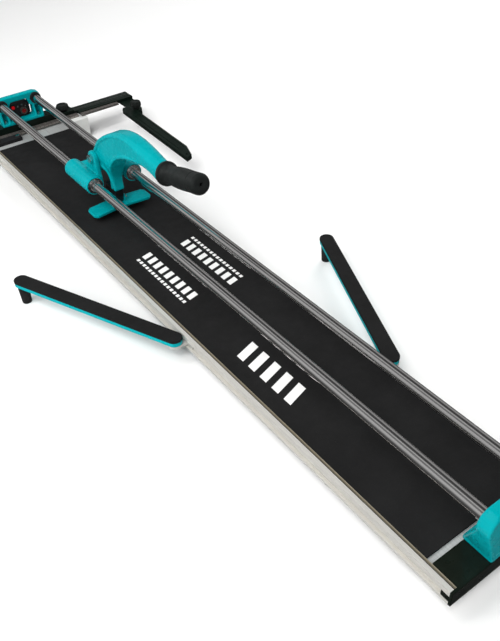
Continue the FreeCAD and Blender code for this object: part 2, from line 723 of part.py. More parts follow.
def pivot_bolt():
    """Hexagon bolt through both ears and the lever."""
    left = V(-EAR_OUTER, PIVOT_Y, PIVOT_Z)
    radius = PIVOT_BOLT_DIAMETER / 2 - PIN_CLEARANCE
    shank = rod(radius, left, V(EAR_OUTER + NUT_HEIGHT + 2, PIVOT_Y, PIVOT_Z))
    head = hex_prism(PIVOT_BOLT_DIAMETER * 1.5, left.sub(V(6, 0, 0)), left)
    return shank.fuse(head).removeSplitter()


def pivot_nut():
    """Lock nut on the right end of the pivot bolt."""
    start = V(EAR_OUTER, PIVOT_Y, PIVOT_Z)
    end = start.add(V(NUT_HEIGHT, 0, 0))
    return hex_prism(PIVOT_BOLT_DIAMETER * 1.5, start, end).cut(rod(PIVOT_BOLT_DIAMETER / 2, start, end))


# ---------------------------------------------------------------- lever
def ahead(forward, height):
    """Y and Z of a point given from the pivot: forward to the operator, and up."""
    return (PIVOT_Y - forward, PIVOT_Z + height)


def lever_outline():
    """Side outline: boss, dome, neck, arch and leg, all from the pivot."""
    reach = LEVER_REACH
    rise = LEVER_RISE
    dome = DOME_HEIGHT
    drop = LEG_DROP
    leg = FOOT_PIN_AHEAD_OF_PIVOT + 5
    return [ahead(f, h) for f, h in (
        (-13, -3), (-9, 11), (6, dome * 0.30), (31, dome * 0.53), (reach * 0.25, dome * 0.76),
        (reach * 0.40, dome * 0.94), (reach * 0.56, dome), (reach * 0.74, dome * 0.97),
        (reach * 0.90, rise + 20), (reach + 2, rise + 17), (reach - 4, rise - 15),
        (reach * 0.77, rise - 8), (reach * 0.61, rise - 12), (reach * 0.46, rise - 20),
        (reach * 0.35, rise - 34), (leg + 27, 11), (leg + 12, -drop * 0.20), (leg + 8, -drop * 0.6),
        (leg + 9, -drop - 5), (leg - 8, -drop - 6), (leg - 7, -drop * 0.66), (leg - 17, -20), (3, -14),
    )]


def leg_side_cuts():
    """Wedges that narrow the lever from the dome to the leg."""
    half = LEVER_WIDTH / 2 + 1
    low = PIVOT_Z - LEG_DROP - 12
    cuts = []
    for side in (-1, 1):
        corners = [(side * half, PIVOT_Z - 2), (side * half, low), (side * LEG_WIDTH / 2, low)]
        corners.append((side * LEG_WIDTH / 2, PIVOT_Z - LEG_DROP * 0.5))
        cuts.append(prism_y(corners, PIVOT_Y - LEVER_REACH * 0.4, PIVOT_Y - EAR_RADIUS))
    return cuts


def grip_direction():
    """Unit vector along the grip, away from the pivot."""
    tilt = math.radians(GRIP_TILT)
    return V(0, -math.cos(tilt), math.sin(tilt))


def grip_point(distance):
    """Point on the grip's axis, measured from its collar face."""
    y, z = ahead(LEVER_REACH, LEVER_RISE)
    return V(0, y, z).add(grip_direction().multiply(distance))


def lever_body():
    """Cast lever with a pivot boss, an arched neck and a leg, and a core for the grip."""
    half = LEVER_WIDTH / 2
    body = curve_plate(lever_outline(), -half, half)
    pivot = V(0, PIVOT_Y, PIVOT_Z)
    body = body.fuse(rod(13, pivot.sub(V(half, 0, 0)), pivot.add(V(half, 0, 0))))
    body = body.cut(leg_side_cuts())
    end_cut = rod(GRIP_COLLAR_DIAMETER, grip_point(0), grip_point(20))
    seat_cut = box(-half, half, PIVOT_Y - 90, PIVOT_Y + 20, LEG_SEAT - 20, LEG_SEAT)
    hole = rod(PIVOT_BOLT_DIAMETER / 2, pivot.sub(V(half + 1, 0, 0)), pivot.add(V(half + 1, 0, 0)))
    body = body.cut([end_cut, seat_cut, hole])
    core = rod(GRIP_CORE_DIAMETER / 2, grip_point(-12), grip_point(GRIP_LENGTH - GRIP_END_WALL))
    return body.fuse(core).removeSplitter()


def grip_slice(d0, r0, d1, r1):
    """Part of the grip between two places on its axis, straight or tapered."""
    if r0 == r1:
        return rod(r0, grip_point(d0), grip_point(d1))
    return cone(r0, r1, grip_point(d0), grip_point(d1))


def lever_grip():
    """Rubber grip with a flanged collar, a soft bulge and a domed end."""
    radius = GRIP_DIAMETER / 2
    collar = GRIP_COLLAR_DIAMETER / 2
    stations = (
        (0, collar - 0.8), (1, collar), (6, collar), (8, collar - 1.5), (20, radius - 2.5),
        (GRIP_LENGTH * 0.55, radius), (GRIP_LENGTH - 6, radius - 0.7), (GRIP_LENGTH, radius - 5),
    )
    slices = [grip_slice(*a, *b) for a, b in zip(stations, stations[1:])]
    grip = slices[0].multiFuse(slices[1:])
    inside = GRIP_LENGTH - GRIP_END_WALL
    core = rod(GRIP_CORE_DIAMETER / 2, grip_point(0), grip_point(inside))
    vent = rod(2.5, grip_point(inside), grip_point(GRIP_LENGTH))
    return grip.cut([core, vent]).removeSplitter()


# ---------------------------------------------------------------- wheel and foot
def wheel_holder():
    """Steel block under the leg: a fork for the wheel and an eye for the foot pin."""
    half = HOLDER_WIDTH / 2
    floor = FOOT_PIN_Z + 7.5
    front = FOOT_PIN_Y - 10
    back = WHEEL_Y + 8
    block = box(-half, half, front, back, floor, LEG_SEAT)
    fork = box(-half, half, WHEEL_Y - 8, back, WHEEL_Z, floor)
    fork_end = rod(8, V(-half, WHEEL_Y, WHEEL_Z), V(half, WHEEL_Y, WHEEL_Z))
    hanger = box(-half, half, FOOT_PIN_Y - 6, FOOT_PIN_Y + 6, FOOT_PIN_Z, floor)
    eye = rod(6, V(-half, FOOT_PIN_Y, FOOT_PIN_Z), V(half, FOOT_PIN_Y, FOOT_PIN_Z))
    body = block.multiFuse([fork, fork_end, hanger, eye])
    gap = WHEEL_THICKNESS / 2 + WHEEL_SIDE_GAP
    clear = WHEEL_DIAMETER / 2 + 1.5
    slot = box(-gap, gap, WHEEL_Y - clear, WHEEL_Y + clear, WHEEL_Z - clear, WHEEL_Z + clear)
    axle = rod(WHEEL_AXLE_DIAMETER / 2, V(-half, WHEEL_Y, WHEEL_Z), V(half, WHEEL_Y, WHEEL_Z))
    pin = rod(FOOT_PIN_DIAMETER / 2, V(-half, FOOT_PIN_Y, FOOT_PIN_Z), V(half, FOOT_PIN_Y, FOOT_PIN_Z))
    return body.cut([slot, axle, pin]).removeSplitter()


def cutting_wheel():
    """Carbide scoring wheel with a bevelled edge."""
    half = WHEEL_THICKNESS / 2
    radius = WHEEL_DIAMETER / 2
    centre = V(0, WHEEL_Y, WHEEL_Z)
    core = rod(radius - 1.5, centre.sub(V(half, 0, 0)), centre.add(V(half, 0, 0)))
    bevels = [cone(radius - 1.5, radius, centre.add(V(side * half, 0, 0)), centre) for side in (-1, 1)]
    bore = rod(WHEEL_AXLE_DIAMETER / 2 + PIN_CLEARANCE, centre.sub(V(half, 0, 0)), centre.add(V(half, 0, 0)))
    return core.multiFuse(bevels).cut(bore).removeSplitter()


def wheel_axle():
    """Axle across the fork."""
    half = HOLDER_WIDTH / 2
    return rod(WHEEL_AXLE_DIAMETER / 2, V(-half, WHEEL_Y, WHEEL_Z), V(half, WHEEL_Y, WHEEL_Z))


def breaker_foot():
    """Winged presser foot with two lugs round the foot pin."""
    half = FOOT_SPAN / 2
    y0 = FOOT_PIN_Y - FOOT_DEPTH / 2
    y1 = FOOT_PIN_Y + FOOT_DEPTH / 2
    z0 = PAD_TOP + FOOT_ABOVE_PAD
    right = [(16, y0 + 5), (half - 7, y0), (half, y0 + 7), (half, y1 - 12), (half - 6, y1 - 5), (16, y1)]
    left = [(-x, y) for x, y in reversed(right)]
    plate = prism_z(right + left, z0, FOOT_PLATE_TOP)
    notch_half = HOLDER_WIDTH / 2 + 2
    notch = box(-notch_half, notch_half, WHEEL_Y - 15, y1 + 1, z0 - 1, FOOT_PLATE_TOP + 1)
    lugs = []
    for side in (-1, 1):
        x = sorted((side * LUG_INNER, side * LUG_OUTER))
        lugs.append(box(x[0], x[1], FOOT_PIN_Y - 7, FOOT_PIN_Y + 7, z0, FOOT_PIN_Z))
        lugs.append(rod(7, V(x[0], FOOT_PIN_Y, FOOT_PIN_Z), V(x[1], FOOT_PIN_Y, FOOT_PIN_Z)))
    body = plate.cut(notch).multiFuse(lugs)
    reach = LUG_OUTER + 1
    radius = FOOT_PIN_DIAMETER / 2 + PIN_CLEARANCE
    hole = rod(radius, V(-reach, FOOT_PIN_Y, FOOT_PIN_Z), V(reach, FOOT_PIN_Y, FOOT_PIN_Z))
    return body.cut(hole).removeSplitter()


def foot_pin():
    """Pin through the foot's lugs, with a small head each side."""
    reach = LUG_OUTER + LUG_CLEARANCE
    centre = V(0, FOOT_PIN_Y, FOOT_PIN_Z)
    pin = rod(FOOT_PIN_DIAMETER / 2, centre.sub(V(reach, 0, 0)), centre.add(V(reach, 0, 0)))
    heads = []
    for side in (-1, 1):
        start = centre.add(V(side * reach, 0, 0))
        heads.append(rod(4.5, start, start.add(V(side * 2.5, 0, 0))))
    return pin.multiFuse(heads).removeSplitter()


# ---------------------------------------------------------------- support arms
def side_of(base_y, side):
    """Pivot point of the arm on one side, at the top of its channel."""
    return V(side * ARM_PIVOT_X, base_y, ARM_CHANNEL_TOP)


def place_arm(shape, base_y, side):
    """Swing a shape built along +Y from the pivot out to its rest angle."""
    return turn(shape, side_of(base_y, side), Z_AXIS, -side * ARM_ANGLE)


def arm_channel(base_y, side):
    """Steel channel, open underneath, round at both ends, with its foot socket."""
    x = side * ARM_PIVOT_X
    tip = base_y + ARM_LENGTH
    bottom = ARM_CHANNEL_BOTTOM
    width = ARM_WIDTH - 1
    shell = rounded_bar(x, base_y, ARM_LENGTH, width, bottom, ARM_CHANNEL_TOP)
    roof = ARM_CHANNEL_TOP - ARM_CHANNEL_WALL
    half = width / 2 - ARM_CHANNEL_WALL
    hollow = box(x - half, x + half, base_y + ARM_BOSS_DIAMETER, tip - ARM_FOOT_DIAMETER, bottom, roof)
    bolt = upright(ARM_BOLT_DIAMETER / 2 + PIN_CLEARANCE, x, base_y, bottom, ARM_CHANNEL_TOP)
    foot = upright(FOOT_STUD_DIAMETER / 2, x, tip, bottom, roof)
    return place_arm(shell.cut([hollow, bolt, foot]), base_y, side)


def arm_pad(base_y, side):
    """Rubber top of an arm."""
    x = side * ARM_PIVOT_X
    pad = rounded_bar(x, base_y, ARM_LENGTH, ARM_WIDTH, ARM_CHANNEL_TOP, ARM_TOP)
    pad = fillet_where(pad, 0.8, lambda e: edge_mid(e).z > ARM_TOP - 0.01)
    return place_arm(pad, base_y, side)


def arm_foot(base_y, side):
    """Tapered foot under the tip of an arm, down to the ground."""
    x = side * ARM_PIVOT_X
    y = base_y + ARM_LENGTH
    bottom = ARM_CHANNEL_BOTTOM
    radius = ARM_FOOT_DIAMETER / 2
    leg = cone(radius - 1.5, radius, V(x, y, GROUND), V(x, y, bottom))
    leg = fillet_where(leg, 1.5, lambda e: edge_mid(e).z < GROUND + 0.01)
    stud = upright(FOOT_STUD_DIAMETER / 2, x, y, bottom, ARM_CHANNEL_TOP - ARM_CHANNEL_WALL)
    return place_arm(leg.fuse(stud).removeSplitter(), base_y, side)


def arm_bracket(base_y, side):
    """Round-ended plate that runs in the base's side slot and carries the arm's bolt."""
    x = side * ARM_PIVOT_X
    top = SLOT_MID + ARM_BRACKET_THICKNESS / 2
    bottom = top - ARM_BRACKET_THICKNESS
    radius = ARM_WIDTH / 2 - 0.5
    nose = upright(radius, x, base_y, bottom, top)
    lip = BASE_HALF - SLOT_LIP - SLIDE_CLEARANCE
    neck_x = side_span(side, ARM_PIVOT_X, lip - 1)
    neck = box(neck_x[0], neck_x[1], base_y - radius, base_y + radius, bottom, top)
    inner = BASE_HALF - SLOT_DEPTH + SLIDE_CLEARANCE
    reach = ARM_BRACKET_LENGTH / 2
    height = SLOT_CAVITY - 2 * SLIDE_CLEARANCE
    nut = slot_bar(side, inner, lip, height, base_y - reach, base_y + reach)
    hole = upright(ARM_BOLT_DIAMETER / 2, x, base_y, bottom, top)
    return nose.multiFuse([neck, nut]).cut(hole).removeSplitter()


def arm_bolt(base_y, side):
    """Shoulder bolt from under the bracket up into the arm."""
    x = side * ARM_PIVOT_X
    seat = SLOT_MID - ARM_BRACKET_THICKNESS / 2
    shank = upright(ARM_BOLT_DIAMETER / 2, x, base_y, seat, ARM_CHANNEL_TOP - SLIDE_CLEARANCE)
    head = hex_prism(ARM_BOLT_DIAMETER * 1.6, V(x, base_y, seat - 4), V(x, base_y, seat))
    return shank.fuse(head).removeSplitter()


# ---------------------------------------------------------------- fence
def fence_rail():
    """Guide rail across the base, bored for the sliding bar, with a lower clamp end."""
    far = FENCE_FRONT + FENCE_RAIL_WIDTH
    clamp_start = FENCE_END - FENCE_CLAMP_LENGTH
    body = box(-BASE_HALF, FENCE_END, FENCE_FRONT, far, PAD_TOP, FENCE_CLAMP_TOP)
    body = body.fuse(box(-BASE_HALF, clamp_start, FENCE_FRONT, far, FENCE_CLAMP_TOP, FENCE_TOP))
    cuts = []
    for offset in (-10, 0, 10):
        y = FENCE_Y + offset
        cuts.append(box(FAR_FOOT_HALF + 2, clamp_start, y - 0.6, y + 0.6, FENCE_TOP - 0.8, FENCE_TOP))
    gap = SLIDE_CLEARANCE
    start = SLIDER_START - SLIDE_IN - 1
    bore_z = (SLIDER_Z - gap, SLIDER_TOP + gap)
    cuts.append(box(start, FENCE_END, SLIDER_FRONT - gap, SLIDER_BACK + gap, *bore_z))
    cuts.append(upright(KNOB_STUD_DIAMETER / 2 + 0.1, KNOB_X, FENCE_Y, SLIDER_TOP, FENCE_CLAMP_TOP))
    radius = BRACKET_SCREW_DIAMETER / 2
    cuts += [rod(radius, s.sub(V(0, 0, FAR_SCREW_GRIP)), s) for s in far_bolt_spots()]
    return body.cut(cuts).removeSplitter()


def scale_strip():
    """Metal rule along the front of the fence rail."""
    top = PAD_TOP + SCALE_THICKNESS
    return box(-RIM_INNER, FENCE_END + 4, FENCE_FRONT - SCALE_WIDTH, FENCE_FRONT, PAD_TOP, top)


def fence_slider():
    """Ribbed bar that draws out of the fence rail: a tongue, and a wider outer part."""
    tongue = box(SLIDER_START, SLIDER_STEP, SLIDER_FRONT, SLIDER_BACK, SLIDER_Z, SLIDER_TOP)
    front = SLIDER_FRONT - SLIDER_SKIRT
    outer = box(SLIDER_STEP, SLIDER_END, front, SLIDER_BACK, SLIDER_Z, SLIDER_TOP)
    cuts = []
    for share in (0.25, 0.5, 0.75):
        y = front + (SLIDER_BACK - front) * share
        cuts.append(box(SLIDER_STEP, SLIDER_END, y - 0.7, y + 0.7, SLIDER_TOP - 1, SLIDER_TOP))
    cuts += [upright(RIVET_DIAMETER / 2, s.x, s.y, s.z, s.z + RIVET_GRIP) for s in rivet_spots()]
    return tongue.fuse(outer).cut(cuts).removeSplitter()


def slider_scale():
    """Thin rule on the front edge of the sliding bar."""
    far = SLIDER_FRONT - SLIDER_SKIRT
    right = SLIDER_END - ELBOW_WIDTH - 10
    return box(SLIDER_STEP, right, far - SLIDER_SCALE_WIDTH, far, SLIDER_Z, SLIDER_Z + SCALE_THICKNESS)


def mushroom_knob(x, y, seat, diameter, height, stud_end):
    """Mushroom knob on a threaded stud."""
    radius = diameter / 2
    neck = seat + height * 0.4
    brim = seat + height * 0.6
    waist = upright(radius * 0.55, x, y, seat + KNOB_LIFT, neck)
    cap = cone(radius * 0.9, radius, V(x, y, neck), V(x, y, brim))
    dome = cone(radius, radius * 0.72, V(x, y, brim), V(x, y, seat + height))
    stud = upright(KNOB_STUD_DIAMETER / 2, x, y, stud_end, seat + 1)
    return waist.multiFuse([cap, dome, stud]).removeSplitter()


def fence_clamp_knob():
    """Knob that locks the sliding bar."""
    stud_end = SLIDER_TOP + SLIDE_CLEARANCE
    return mushroom_knob(KNOB_X, FENCE_Y, FENCE_CLAMP_TOP, KNOB_DIAMETER, KNOB_HEIGHT, stud_end)


def fence_elbow():
    """Flat plate under the end of the sliding bar that reaches back to the stop arm's pivot."""
    left = SLIDER_END - ELBOW_WIDTH
    x, y = STOP_PIVOT_X, STOP_PIVOT_Y
    nose_radius = ELBOW_NOSE_DIAMETER / 2
    bend = y + nose_radius * 3
    plan = [
        (left, SLIDER_BACK), (left, bend), (x - nose_radius, y), (x + nose_radius, y),
        (SLIDER_END, bend), (SLIDER_END, SLIDER_BACK),
    ]
    plate = prism_z(plan, ELBOW_Z, SLIDER_Z)
    nose = upright(nose_radius, x, y, ELBOW_Z, SLIDER_Z)
    holes = [upright(KNOB_STUD_DIAMETER / 2 + 0.1, x, y, ELBOW_Z, SLIDER_Z)]
    holes += [upright(RIVET_DIAMETER / 2, s.x, s.y, ELBOW_Z, SLIDER_Z) for s in rivet_spots()]
    return plate.fuse(nose).cut(holes).removeSplitter()


def rivet_spots():
    """Places of the two rivets, on the underside of the sliding bar."""
    x = SLIDER_END - ELBOW_WIDTH / 2
    return [V(x + offset, FENCE_Y, SLIDER_Z) for offset in (-9, 9)]


def elbow_rivets():
    """Two rivets from under the elbow plate up into the sliding bar."""
    rivets = []
    for spot in rivet_spots():
        shank = upright(RIVET_DIAMETER / 2, spot.x, spot.y, ELBOW_Z, SLIDER_Z + RIVET_GRIP)
        seat = V(spot.x, spot.y, ELBOW_Z)
        head = cone(RIVET_DIAMETER, RIVET_DIAMETER * 0.7, seat, seat.sub(V(0, 0, 1.5)))
        rivets.append(shank.fuse(head).removeSplitter())
    return rivets


def stop_arm_plan():
    """Top view of the stop arm before it is turned: a long bar with a chisel tip."""
    x = STOP_PIVOT_X - STOP_ARM_OFFSET
    half = STOP_ARM_WIDTH / 2
    back = STOP_PIVOT_Y + STOP_ARM_TAIL
    tip = STOP_PIVOT_Y - STOP_ARM_LENGTH
    return [
        (x - half + 6, back), (x + half - 6, back), (x + half, back - 8),
        (x + half, tip + STOP_ARM_WIDTH * 1.8), (x + half * 0.15, tip + 8), (x - half, tip),
        (x - half, back - 10),
    ]


def stop_arm():
    """Ribbed stop arm that lies on the elbow plate, with a boss for its pivot."""
    x, y = STOP_PIVOT_X, STOP_PIVOT_Y
    middle = x - STOP_ARM_OFFSET
    tip = y - STOP_ARM_LENGTH
    rib_ends = (tip + STOP_ARM_WIDTH * 1.8, y - ELBOW_NOSE_DIAMETER)
    body = prism_z(stop_arm_plan(), STOP_ARM_BOTTOM, STOP_ARM_TOP)
    body = body.fuse(upright(ELBOW_NOSE_DIAMETER / 2, x, y, STOP_ARM_BOTTOM, STOP_ARM_TOP))
    cuts = []
    for share in (-0.25, 0.25):
        rib = middle + STOP_ARM_WIDTH * share
        cuts.append(box(rib - 0.8, rib + 0.8, *rib_ends, STOP_ARM_TOP - 1, STOP_ARM_TOP))
    cuts.append(upright(KNOB_STUD_DIAMETER / 2 + 0.1, x, y, STOP_ARM_BOTTOM, STOP_ARM_TOP))
    cuts.append(upright(2.5, middle - STOP_ARM_WIDTH * 0.2, tip + 16, STOP_ARM_BOTTOM, STOP_ARM_TOP))
    body = body.cut(cuts).removeSplitter()
    return turn(body, V(x, y, 0), Z_AXIS, -STOP_ARM_ANGLE)


def stop_arm_knob():
    """Knob that locks the stop arm at its pivot."""
    return mushroom_knob(
        STOP_PIVOT_X, STOP_PIVOT_Y, STOP_ARM_TOP, STOP_KNOB_DIAMETER, STOP_KNOB_HEIGHT, ELBOW_Z)


# ---------------------------------------------------------------- laser
def laser_housing():
    """Laser box inside the far bracket, with a pocket for the lens barrel and the button."""
    half = LASER_WIDTH / 2
    body = box(-half, half, LASER_Y, LASER_Y + LASER_DEPTH, LASER_Z, LASER_Z + LASER_HEIGHT)
    body = fillet_where(body, 3.0, lambda e: is_line_along(e, Y_AXIS))
    barrel = rod(LASER_BARREL_DIAMETER / 2, LENS_CENTRE, LENS_CENTRE.add(V(0, 8, 0)))
    button = rod(LASER_BUTTON_DIAMETER / 2 + 0.3, BUTTON_CENTRE, BUTTON_CENTRE.add(V(0, 6, 0)))
    return body.cut([barrel, button]).removeSplitter()


def laser_barrel():
    """Lens barrel that stands out of the laser box."""
    radius = LASER_BARREL_DIAMETER / 2
    body = rod(radius, LENS_CENTRE.add(V(0, -6, 0)), LENS_CENTRE.add(V(0, 8, 0)))
    return body.cut(rod(radius - 3, LENS_CENTRE.add(V(0, -6, 0)), LENS_CENTRE.add(V(0, -2, 0))))


def laser_lens():
    """Glass window in the barrel."""
    return rod(LASER_BARREL_DIAMETER / 2 - 3, LENS_CENTRE.add(V(0, -4, 0)), LENS_CENTRE.add(V(0, -2, 0)))


def laser_button():
    """Push button on the face of the laser box."""
    inner = BUTTON_CENTRE.add(V(0, 6 - LASER_BUTTON_TRAVEL - SLIDE_CLEARANCE, 0))
    return rod(LASER_BUTTON_DIAMETER / 2, BUTTON_CENTRE.add(V(0, -3, 0)), inner)


def laser_screws():
    """Three screws in the face of the laser box."""
    screws = []
    for x, z in ((-2, LASER_HEIGHT - 8), (8, LASER_HEIGHT - 6), (16, LASER_HEIGHT - 11)):
        spot = V(x, LASER_Y, LASER_Z + z)
        screws.append(cone(2.6, 1.8, spot, spot.sub(V(0, 1.6, 0))))
    return screws


# ---------------------------------------------------------------- deck stop
def deck_stop():
    """Moulded zero stop on the deck in front of the scale, left of the rails."""
    far = FENCE_FRONT - SCALE_WIDTH
    top = PAD_TOP + SCALE_THICKNESS
    block = box(-RIM_INNER + 6, -STOP_BLOCK_INNER, far - STOP_BLOCK_DEPTH, far, DECK_TOP, top)
    block = fillet_where(block, 2.5, lambda e: is_line_along(e, Z_AXIS))
    y = far - STOP_BLOCK_DEPTH / 2
    return block.cut(upright(STOP_SCREW_DIAMETER / 2, STOP_SCREW_X, y, DECK_TOP, top))


def deck_stop_screw():
    """Pan head screw in the zero stop."""
    y = FENCE_FRONT - SCALE_WIDTH - STOP_BLOCK_DEPTH / 2
    top = PAD_TOP + SCALE_THICKNESS
    shank = upright(STOP_SCREW_DIAMETER / 2, STOP_SCREW_X, y, DECK_TOP, top)
    return shank.fuse(upright(STOP_SCREW_DIAMETER * 0.9, STOP_SCREW_X, y, top, top + 3)).removeSplitter()


# ---------------------------------------------------------------- build
def build():
    """Write every node."""
    os.makedirs("parts", exist_ok=True)
    left_pad, right_pad = pads()
    left_rail, right_rail = rails()
    save("base_extrusion", base_extrusion())
    save("left_pad", left_pad)
    save("right_pad", right_pad)
    save("break_bar", break_bar())
    save("near_end_cap", near_end_cap())
    save("near_stand", near_stand())
    save("far_end_cap", far_end_cap())
    save("far_stand", far_stand())
    save("stand_pads", *stand_pads())
    save("stand_screws", *stand_bolts())
    save("near_rail_bracket", near_rail_bracket())
    save("far_rail_bracket", far_rail_bracket())
    save("near_bracket_screws", *[socket_screw(s, NEAR_SCREW_GRIP) for s in near_bolt_spots()])
    save("far_bracket_screws", *[socket_screw(s, FAR_SCREW_GRIP) for s in far_bolt_spots()])
    save("left_rail", left_rail)
    save("right_rail", right_rail)
    save("rail_bumpers", *rail_bumpers())
    save("carriage_body", carriage_body())
    save("linear_bearings", *linear_bearings())
    save("retaining_rings", *retaining_rings())
    save("pivot_bolt", pivot_bolt())
    save("pivot_nut", pivot_nut())
    save("lever_body", lever_body())
    save("lever_grip", lever_grip())
    save("wheel_holder", wheel_holder())
    save("cutting_wheel", cutting_wheel())
    save("wheel_axle", wheel_axle())
    save("breaker_foot", breaker_foot())
    save("foot_pin", foot_pin())
    for name, side, y in (("left", -1, LEFT_ARM_Y), ("right", 1, RIGHT_ARM_Y)):
        save(name + "_arm_bracket", arm_bracket(y, side))
        save(name + "_arm_bolt", arm_bolt(y, side))
        save(name + "_arm_channel", arm_channel(y, side))
        save(name + "_arm_pad", arm_pad(y, side))
        save(name + "_arm_foot", arm_foot(y, side))
    save("fence_rail", fence_rail())
    save("scale_strip", scale_strip())
    save("fence_slider", fence_slider())
    save("slider_scale", slider_scale())
    save("fence_clamp_knob", fence_clamp_knob())
    save("fence_elbow", fence_elbow())
    save("elbow_rivets", *elbow_rivets())
    save("stop_arm", stop_arm())
    save("stop_arm_knob", stop_arm_knob())
    save("laser_housing", laser_housing())
    save("laser_barrel", laser_barrel())
    save("laser_lens", laser_lens())
    save("laser_button", laser_button())
    save("laser_screws", *laser_screws())
    save("deck_stop", deck_stop())
    save("deck_stop_screw", deck_stop_screw())


build()
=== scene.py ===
"""Looks of the rail-guided tile cutter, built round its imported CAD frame."""

import json
import math

import bmesh
import bpy
import numpy as np
import openvdb
from mathutils import Matrix, Vector

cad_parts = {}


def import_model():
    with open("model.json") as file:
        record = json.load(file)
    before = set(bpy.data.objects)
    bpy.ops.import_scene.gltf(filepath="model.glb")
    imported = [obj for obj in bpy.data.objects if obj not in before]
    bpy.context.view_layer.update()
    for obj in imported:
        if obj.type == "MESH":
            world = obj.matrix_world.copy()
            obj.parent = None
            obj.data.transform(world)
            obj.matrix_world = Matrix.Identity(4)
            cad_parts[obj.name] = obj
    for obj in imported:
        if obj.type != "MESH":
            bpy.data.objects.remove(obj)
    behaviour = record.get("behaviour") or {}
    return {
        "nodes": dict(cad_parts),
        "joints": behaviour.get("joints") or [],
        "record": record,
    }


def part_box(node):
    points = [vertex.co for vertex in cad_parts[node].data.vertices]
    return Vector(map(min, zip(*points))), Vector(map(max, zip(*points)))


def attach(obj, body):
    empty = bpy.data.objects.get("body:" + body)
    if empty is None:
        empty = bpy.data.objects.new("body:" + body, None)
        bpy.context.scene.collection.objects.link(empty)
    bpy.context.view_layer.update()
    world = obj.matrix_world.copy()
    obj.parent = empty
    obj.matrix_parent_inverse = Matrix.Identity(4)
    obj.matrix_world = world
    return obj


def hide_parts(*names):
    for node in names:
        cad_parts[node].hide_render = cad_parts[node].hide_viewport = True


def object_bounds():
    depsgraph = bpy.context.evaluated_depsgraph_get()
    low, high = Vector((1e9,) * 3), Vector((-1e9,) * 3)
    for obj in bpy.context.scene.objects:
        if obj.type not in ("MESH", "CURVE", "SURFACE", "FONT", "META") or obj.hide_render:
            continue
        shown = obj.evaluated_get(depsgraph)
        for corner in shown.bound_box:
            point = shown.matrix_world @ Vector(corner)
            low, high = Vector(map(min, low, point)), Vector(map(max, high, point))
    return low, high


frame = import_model()
CAD_BOX = [list(corner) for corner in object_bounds()]
MM = 0.001
RECORD = frame["record"]
BODY_OF = {n: b for b, nodes in RECORD["behaviour"]["bodies"].items() for n in nodes}
SLOT_OF = {part["node"]: part["material_slot"] for part in RECORD["subparts"]}
JOINT = {joint["name"]: joint for joint in frame["joints"]}

# Sizes that the lever, its grip and the knobs share with the CAD part, in mm and degrees
LEVER_TILT = 13.5
LEVER_HALF_WIDTH = 18.0
LEVER_BOSS_RADIUS = 13.0
LEVER_BORE_RADIUS = 5.2
LEVER_LEG_END = -58.0
COLLAR_PLACE = (0.0, -248.0, 62.0)
GRIP_LENGTH = 116.0
CLAMP_KNOB_CAP = 16.0
STOP_KNOB_CAP = 20.0
WINDOW_HALF_WIDTH = 30.6
WINDOW_TOP = 77.8

# The photograph's camera: focal length and picture height in pixels, turn in radians, place in metres
FOCAL_PIXELS = 737.8
PICTURE_HEIGHT = 641.0
SENSOR_WIDTH = 36.0
CAMERA_PITCH, CAMERA_ROLL, CAMERA_YAW = 0.694, -0.056, -0.591
CAMERA_PLACE = (-0.5122, -0.9873, 0.7889)
FLOOR_REACH = 14.0
WORLD_STRENGTH = 0.5


